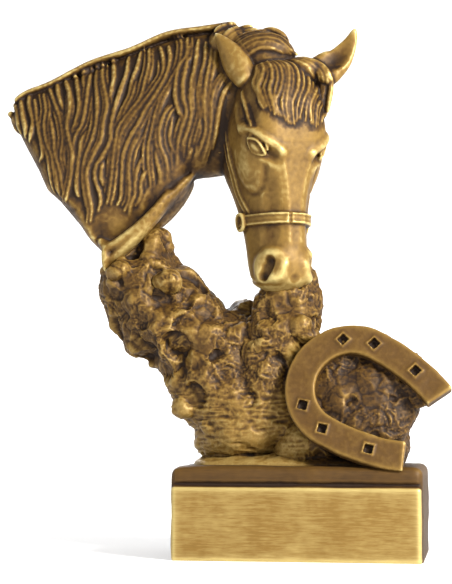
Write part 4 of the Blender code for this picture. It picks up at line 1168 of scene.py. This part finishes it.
def scoop(points):
    """Press the smooth hollows into the front of the rock."""
    for x, z, radius, depth in ROCK_SCOOPS:
        near = points[(np.hypot(points[:, 0] - x, points[:, 2] - z) < 1.5) & (points[:, 1] < 2.0)]
        if len(near):
            press(points, (x, near[:, 1].min(), z), radius, (0.0, depth, 0.0))


def thrown_on(points, low, high, rng):
    """Number of the point nearest to a place thrown close to the surface.

    No point is picked by its number alone, so the chips don't hang on the points' order.
    """
    while True:
        distance = np.linalg.norm(points - rng.uniform(low, high), axis=1)
        nearest = int(np.argmin(distance))
        if distance[nearest] < THROW_REACH:
            return nearest


def chip(points, normals):
    """Strike flat and oval facets from the rock, from a fixed seed."""
    rng = np.random.default_rng(23)
    low, high = np.round(points.min(axis=0)), np.round(points.max(axis=0))
    for _ in range(ROCK_CHIPS):
        pick = thrown_on(points, low, high, rng)
        if points[pick, 2] < 16.0:
            continue
        away = normals[pick] + rng.normal(0.0, 0.35, 3)
        away /= np.linalg.norm(away)
        radius = rng.uniform(1.8, 5.5) if points[pick, 0] < 4.0 else rng.uniform(1.2, 2.4)
        depth = radius * rng.uniform(0.10, 0.24)
        edge = radius * rng.uniform(0.12, 0.4)
        offset = points - points[pick]
        height = offset @ away + depth
        distance = np.linalg.norm(offset, axis=1)
        near = (distance < radius) & (height > 0.0)
        share = np.clip((radius - distance[near]) / edge, 0.0, 1.0)
        points[near] -= away * (height[near] * share * 0.9)[:, None]


class TROPHY_OT_rock(bpy.types.Operator):
    """Build the forked rock"""

    bl_idname = "trophy.rock"
    bl_label = "Rock"

    def execute(self, context):
        piece = new_object("rock", join(rock_mass() + rock_lumps() + shoe_seat()))
        reskin(piece, ROCK_VOXEL, 10)
        points = mesh_points(piece.data)
        scoop(points)
        chip(points, mesh_normals(piece.data))
        put_points(piece.data, points)
        put_points(piece.data, crumble(points, mesh_normals(piece.data)))
        thin_out(piece, PIECE_TRIANGLES)
        points = mesh_points(piece.data)
        # Less gold on the rock behind the horseshoe: painted shade in the recess between the shoe and the rock
        painted_shade_behind_shoe = np.clip((points[:, 0] - 4.0) / 6.0, 0.0, 1.0)
        low = np.clip((24.0 - points[:, 2]) / 8.0, 0.0, 1.0) + np.clip((12.0 - points[:, 2]) / 5.0, 0.0, 1.0)
        near_foot = low * (points[:, 0] < 4.0)
        on_plinth = np.clip((2.0 - points[:, 2]) / 1.5, 0.0, 1.0)
        zone = 0.33 - 0.17 * painted_shade_behind_shoe + 0.19 * near_foot - 0.24 * on_plinth
        rub_gold(piece.data, zone, fine=1.9, broad=0.20, most=0.70)
        piece.data.transform(figure_stand())
        finish_piece(piece, antique_gold("antique_gold_on_the_rock"))
        return {"FINISHED"}


SHOE_STEPS = 60
SHOE_WIDEST_AT = 0.44
SHOE_HEEL_ANGLE = math.radians(44.0)
SHOE_ROLL = math.radians(-29.5)
SHOE_LEAN = math.radians(17.0)
SHOE_ACROSS = 0.0140
SHOE_SETBACK = -0.0010
SHOE_SUNK = 0.0020
SEAT_DEPTH = 0.0130
SEAT_GRIP = 0.0018
SEAT_MARGIN = 0.0014
NAIL_HOLE_ANGLES = (65.0, 92.0, 129.0)
NAIL_HOLE_TURN = math.radians(15.5)


def shoe_line(turn):
    """Centre of the branch and its outward way, at an angle around from the open side."""
    sizes = bpy.context.scene.trophy_sizes
    middle = (sizes.shoe_width - sizes.shoe_branch) / 2.0
    widest = sizes.shoe_length * SHOE_WIDEST_AT
    along = math.cos(turn)
    reach = widest - sizes.shoe_branch / 2.0
    if along > 0.0:
        reach = (sizes.shoe_length - widest) / math.cos(SHOE_HEEL_ANGLE)
    centre = Vector((along * reach, 0.0, math.sin(turn) * middle))
    outward = Vector((along * middle, 0.0, math.sin(turn) * reach)).normalized()
    return centre, outward


def shoe_sections():
    """Corners of the branch's square section, from one heel around the toe to the other."""
    sizes = bpy.context.scene.trophy_sizes
    half = sizes.shoe_thickness / 2.0
    sections = []
    for i in range(SHOE_STEPS + 1):
        turn = SHOE_HEEL_ANGLE + (2.0 * math.pi - 2.0 * SHOE_HEEL_ANGLE) * i / SHOE_STEPS
        centre, outward = shoe_line(turn)
        corners = []
        for across, deep in ((1.0, -1.0), (1.0, 1.0), (-1.0, 1.0), (-1.0, -1.0)):
            corners.append(centre + outward * across * sizes.shoe_branch / 2.0 + Vector((0.0, deep * half, 0.0)))
        sections.append(corners)
    return sections


def shoe_matrix():
    """The shoe's place: sunk a little in the plinth, its foot set back from the plinth's front."""
    sizes = bpy.context.scene.trophy_sizes
    turned = Matrix.Rotation(-SHOE_LEAN, 4, "X") @ Matrix.Rotation(-SHOE_ROLL, 4, "Y")
    corners = [turned @ corner for section in shoe_sections() for corner in section]
    low = min(corner.z for corner in corners)
    front = min(corner.y for corner in corners)
    y = -sizes.plinth_depth / 2.0 + SHOE_SETBACK - front
    place = Vector((SHOE_ACROSS, y, sizes.plinth_height - SHOE_SUNK - low))
    return Matrix.Translation(place) @ turned


def shoe_seat():
    """Rock behind the shoe, which grips its back: a flat boss and a ridge along the upper branch."""
    sizes = bpy.context.scene.trophy_sizes
    place = figure_stand().inverted() @ shoe_matrix()
    front = sizes.shoe_thickness / 2.0 - SEAT_GRIP
    boss = sphere_mesh(32, 24)
    points = np.array([vertex.co for vertex in boss.verts])
    points[:, 1] = np.sign(points[:, 1]) * np.abs(points[:, 1]) ** 0.5
    points *= (sizes.shoe_length / 2.0 - SEAT_MARGIN, SEAT_DEPTH / 2.0, sizes.shoe_width / 2.0 - SEAT_MARGIN)
    points[:, 1] += front + SEAT_DEPTH / 2.0
    set_points(boss, points)
    bmesh.ops.transform(boss, matrix=place, verts=boss.verts)
    stations = []
    for degrees, inward in ((150.0, 0.0), (120.0, 0.05), (90.0, 0.1), (68.0, 0.18), (47.0, 0.3)):
        centre, outward = shoe_line(math.radians(degrees))
        centre -= outward * sizes.shoe_branch * inward
        back = front + SEAT_DEPTH / 4.0
        stations.append((centre.x, back, centre.z, sizes.shoe_branch / 2.0 + SEAT_MARGIN, SEAT_DEPTH / 4.0))
    ridge = limb(stations, around=16, along=32)
    bmesh.ops.transform(ridge, matrix=place, verts=ridge.verts)
    return [boss, ridge]


def shoe_bar():
    """The bent iron: one square section carried around the shoe's line, in millimetres."""
    form = bmesh.new()
    loops = []
    for section in shoe_sections():
        corners = [form.verts.new(corner / MM) for corner in section]
        loops.append([form.edges.new((corners[j], corners[(j + 1) % 4])) for j in range(4)])
    for first, second in zip(loops, loops[1:]):
        bmesh.ops.bridge_loops(form, edges=first + second)
    for end in (loops[0], loops[-1]):
        bmesh.ops.contextual_create(form, geom=end)
    bmesh.ops.recalc_face_normals(form, faces=form.faces)
    return form


def cut(owner, other, operation="DIFFERENCE"):
    """Join or cut with an exact Boolean, bake it and drop the other solid."""
    step = owner.modifiers.new("cut", "BOOLEAN")
    step.operation = operation
    step.object = other
    step.solver = "EXACT"
    bake(owner)
    bpy.data.objects.remove(other, do_unlink=True)


def box_form(size, place):
    """A cube stretched to a size and put in place by a matrix."""
    form = bmesh.new()
    bmesh.ops.create_cube(form, size=1.0)
    bmesh.ops.transform(form, matrix=place @ Matrix.Diagonal((*size, 1.0)), verts=form.verts)
    return form


def soften(form, width, segments=2):
    """Round every sharp edge of a small form."""
    sharp = [edge for edge in form.edges if edge.calc_face_angle(0.0) > math.radians(40.0)]
    bmesh.ops.bevel(form, geom=sharp, offset=width, segments=segments, profile=0.5, affect="EDGES", material=-1)


class TROPHY_OT_horseshoe(bpy.types.Operator):
    """Build the horseshoe with its nail recesses"""

    bl_idname = "trophy.horseshoe"
    bl_label = "Horseshoe"

    def execute(self, context):
        sizes = context.scene.trophy_sizes
        half = sizes.shoe_thickness / MM / 2.0
        hole = sizes.nail_hole / MM
        form = shoe_bar()
        soften(form, 0.5)
        piece = new_object("horseshoe", form)
        for degrees in NAIL_HOLE_ANGLES:
            for branch in (1.0, -1.0):
                centre = shoe_line(math.radians(degrees) * branch)[0] / MM
                turned = Matrix.Rotation(NAIL_HOLE_TURN * branch, 4, "Y")
                rim_place = Matrix.Translation(centre - Vector((0.0, half, 0.0))) @ turned
                rim = box_form((hole + 1.2, 0.5, hole + 1.2), rim_place)
                soften(rim, 0.24, 1)
                cut(piece, new_object("rim", rim), "UNION")
                pit = box_form((hole, 2.8, hole), rim_place)
                cut(piece, new_object("pit", pit))
        reskin(piece, SHOE_VOXEL, 1)
        points = mesh_points(piece.data)
        uneven = grain(points, 0.22, 0.16) + grain(points, 0.8, 0.05)
        put_points(piece.data, points + mesh_normals(piece.data) * uneven[:, None])
        thin_out(piece, PIECE_TRIANGLES)
        points = mesh_points(piece.data)
        # The shoe's sides and back get less gold than its front face: painted shade on the walls of the iron
        zone = np.full(len(points), 0.37) - 0.16 * np.clip((points[:, 1] + half - 0.8) / 0.8, 0.0, 1.0)
        rub_gold(piece.data, zone, fine=2.0, broad=0.6)
        piece.data.transform(shoe_matrix() @ Matrix.Scale(MM, 4))
        finish_piece(piece, antique_gold("antique_gold_on_the_horseshoe", streak_strength=0.06))
        return {"FINISHED"}


class TROPHY_OT_plinth(bpy.types.Operator):
    """Build the plinth with its blank tablet"""

    bl_idname = "trophy.plinth"
    bl_label = "Plinth"

    def execute(self, context):
        sizes = context.scene.trophy_sizes
        width, depth, height = (v / MM for v in (sizes.plinth_width, sizes.plinth_depth, sizes.plinth_height))
        body = box_form((width, depth, height * 2.0), Matrix.Identity(4))
        soften(body, sizes.plinth_rounding / MM, 4)
        piece = new_object("plinth", body)
        proud = sizes.tablet_proud / MM
        top_margin = sizes.tablet_top / MM
        tablet_width = width - 2.0 * sizes.tablet_side / MM
        tablet_height = height - top_margin
        front = -depth / 2.0 - proud
        thick = 3.0 * proud
        place = Matrix.Translation((0.0, front + thick / 2.0, 0.0))
        tablet = box_form((tablet_width, thick, tablet_height * 2.0), place)
        soften(tablet, sizes.tablet_bevel / MM, 1)
        cut(piece, new_object("tablet", tablet), "UNION")
        groove = sizes.groove / MM
        slot_place = Matrix.Translation((0.0, -depth / 2.0, tablet_height + groove / 2.0))
        slot = box_form((tablet_width, 1.6, groove), slot_place)
        cut(piece, new_object("slot", slot))
        below = box_form((width * 2.0, depth * 2.0, height * 2.0), Matrix.Translation((0.0, 0.0, -height)))
        cut(piece, new_object("below", below))
        reskin(piece, PLINTH_VOXEL, 1)
        points = mesh_points(piece.data)
        uneven = grain(points, 0.09, 0.35) + grain(points, 0.5, 0.06)
        uneven *= np.clip(points[:, 2] / 1.5, 0.0, 1.0)
        on_tablet = (points[:, 1] < -depth / 2.0 - 0.2) & (points[:, 2] < tablet_height)
        uneven *= np.where(on_tablet, 0.35, 1.0)
        points += mesh_normals(piece.data) * uneven[:, None]
        points[:, 2] = np.maximum(points[:, 2], 0.0)
        put_points(piece.data, points)
        thin_out(piece, PIECE_TRIANGLES)
        points = mesh_points(piece.data)
        on_tablet = (points[:, 1] < -depth / 2.0 - 0.2) & (points[:, 2] < tablet_height + 0.3)
        zone = np.where(on_tablet, 0.69, 0.20)
        # The groove over the tablet gets almost no gold: painted shade in the recess under the plinth's top edge
        painted_shade_in_groove = np.abs(points[:, 2] - tablet_height - groove / 2.0) < groove * 0.7
        zone = np.where(painted_shade_in_groove & (points[:, 1] < -depth / 2.0 + 1.2), 0.12, zone)
        rub_gold(piece.data, zone, fine=1.6, broad=0.25)
        piece.data.transform(Matrix.Scale(MM, 4))
        paint = antique_gold("brushed_gold_on_the_plinth", streak_scale=(0.10, 1.0, 1.0), streak_strength=0.12, grain_mm=0.4)
        finish_piece(piece, paint)
        return {"FINISHED"}


def area_light(name, place, target, size, watts, colour):
    lamp = bpy.data.lights.new(name, "AREA")
    lamp.energy = watts
    lamp.size = size
    lamp.color = colour
    owner = bpy.data.objects.new(name, lamp)
    owner.location = place
    owner.rotation_euler = (Vector(target) - Vector(place)).to_track_quat("-Z", "Y").to_euler()
    bpy.context.scene.collection.objects.link(owner)


class TROPHY_OT_stage(bpy.types.Operator):
    """Set the pale floor, the studio light and the camera"""

    bl_idname = "trophy.stage"
    bl_label = "Stage"

    def execute(self, context):
        scene = context.scene
        form = bmesh.new()
        bmesh.ops.create_circle(form, cap_ends=True, segments=96, radius=1.2)
        rim = [edge for edge in form.edges if edge.is_boundary]
        for i in range(10):
            grown = bmesh.ops.extrude_edge_only(form, edges=rim)["geom"]
            rim = [item for item in grown if isinstance(item, bmesh.types.BMEdge)]
            verts = [item for item in grown if isinstance(item, bmesh.types.BMVert)]
            turn = math.radians(9.0) * (i + 0.5)
            reach = 1.2 + 0.25 * i * math.cos(turn)
            grow = (reach + 0.25 * math.cos(turn)) / reach
            bmesh.ops.scale(form, vec=(grow, grow, 1.0), verts=verts)
            bmesh.ops.translate(form, vec=(0.0, 0.0, 0.25 * math.sin(turn)), verts=verts)
        bmesh.ops.recalc_face_normals(form, faces=form.faces)
        floor = new_object("studio_floor", form)
        smooth_faces(floor.data)
        pale = bpy.data.materials.new("matt_white_paper")
        pale.use_nodes = True
        shader = pale.node_tree.nodes["Principled BSDF"]
        shader.inputs["Base Color"].default_value = (*srgb("F6F6F6"), 1.0)
        shader.inputs["Roughness"].default_value = 0.9
        floor.data.materials.append(pale)
        world = bpy.data.worlds.new("studio")
        world.use_nodes = True
        world.node_tree.nodes["Background"].inputs["Color"].default_value = (1.0, 1.0, 1.0, 1.0)
        world.node_tree.nodes["Background"].inputs["Strength"].default_value = 0.56
        scene.world = world
        aim = (-0.01, 0.0, 0.08)
        area_light("key", (0.54, -0.42, 0.38), aim, 0.20, 17.0, (1.0, 0.98, 0.95))
        area_light("fill", (-0.55, -0.40, 0.30), aim, 0.35, 1.0, (1.0, 1.0, 1.0))
        area_light("back", (-0.25, 0.55, 0.45), aim, 0.30, 3.0, (1.0, 1.0, 1.0))
        area_light("backdrop", (0.0, 0.9, 1.0), (-0.2, 2.4, 0.4), 0.8, 30.0, (1.0, 1.0, 1.0))
        _, _, view, target = camera_ways()
        camera = bpy.data.objects.new("camera", bpy.data.cameras.new("camera"))
        camera.location = target - view * CAMERA_DISTANCE
        camera.rotation_euler = view.to_track_quat("-Z", "Y").to_euler()
        camera.data.sensor_width = SENSOR
        camera.data.lens = SENSOR * CAMERA_DISTANCE / (PICTURE_HEIGHT * PICTURE_SCALE)
        camera.data.clip_start = 0.01
        scene.collection.objects.link(camera)
        scene.camera = camera
        scene.view_settings.view_transform = "Standard"
        return {"FINISHED"}


class TROPHY_PT_panel(bpy.types.Panel):
    """Lists the steps and the sizes of the trophy"""

    bl_idname = "TROPHY_PT_panel"
    bl_label = "Horse trophy"
    bl_space_type = "VIEW_3D"
    bl_region_type = "UI"
    bl_category = "Trophy"

    def draw(self, context):
        for step in STEPS:
            self.layout.operator(step.bl_idname)
        for group in (context.scene.trophy_sizes, context.scene.trophy_colours):
            for name in group.__annotations__:
                self.layout.prop(group, name)


STEPS = (TROPHY_OT_stage, TROPHY_OT_plinth, TROPHY_OT_rock, TROPHY_OT_horseshoe, TROPHY_OT_horse)
CLASSES = (TrophySizes, TrophyColours, *STEPS, TROPHY_PT_panel)


def register():
    for made in CLASSES:
        bpy.utils.register_class(made)
    bpy.types.Scene.trophy_sizes = PointerProperty(type=TrophySizes)
    bpy.types.Scene.trophy_colours = PointerProperty(type=TrophyColours)


def unregister():
    del bpy.types.Scene.trophy_colours
    del bpy.types.Scene.trophy_sizes
    for made in reversed(CLASSES):
        bpy.utils.unregister_class(made)


def main():
    register()
    bpy.ops.trophy.stage()
    bpy.ops.trophy.plinth()
    bpy.ops.trophy.rock()
    bpy.ops.trophy.horseshoe()
    bpy.ops.trophy.horse()
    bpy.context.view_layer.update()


if __name__ == "__main__":
    main()
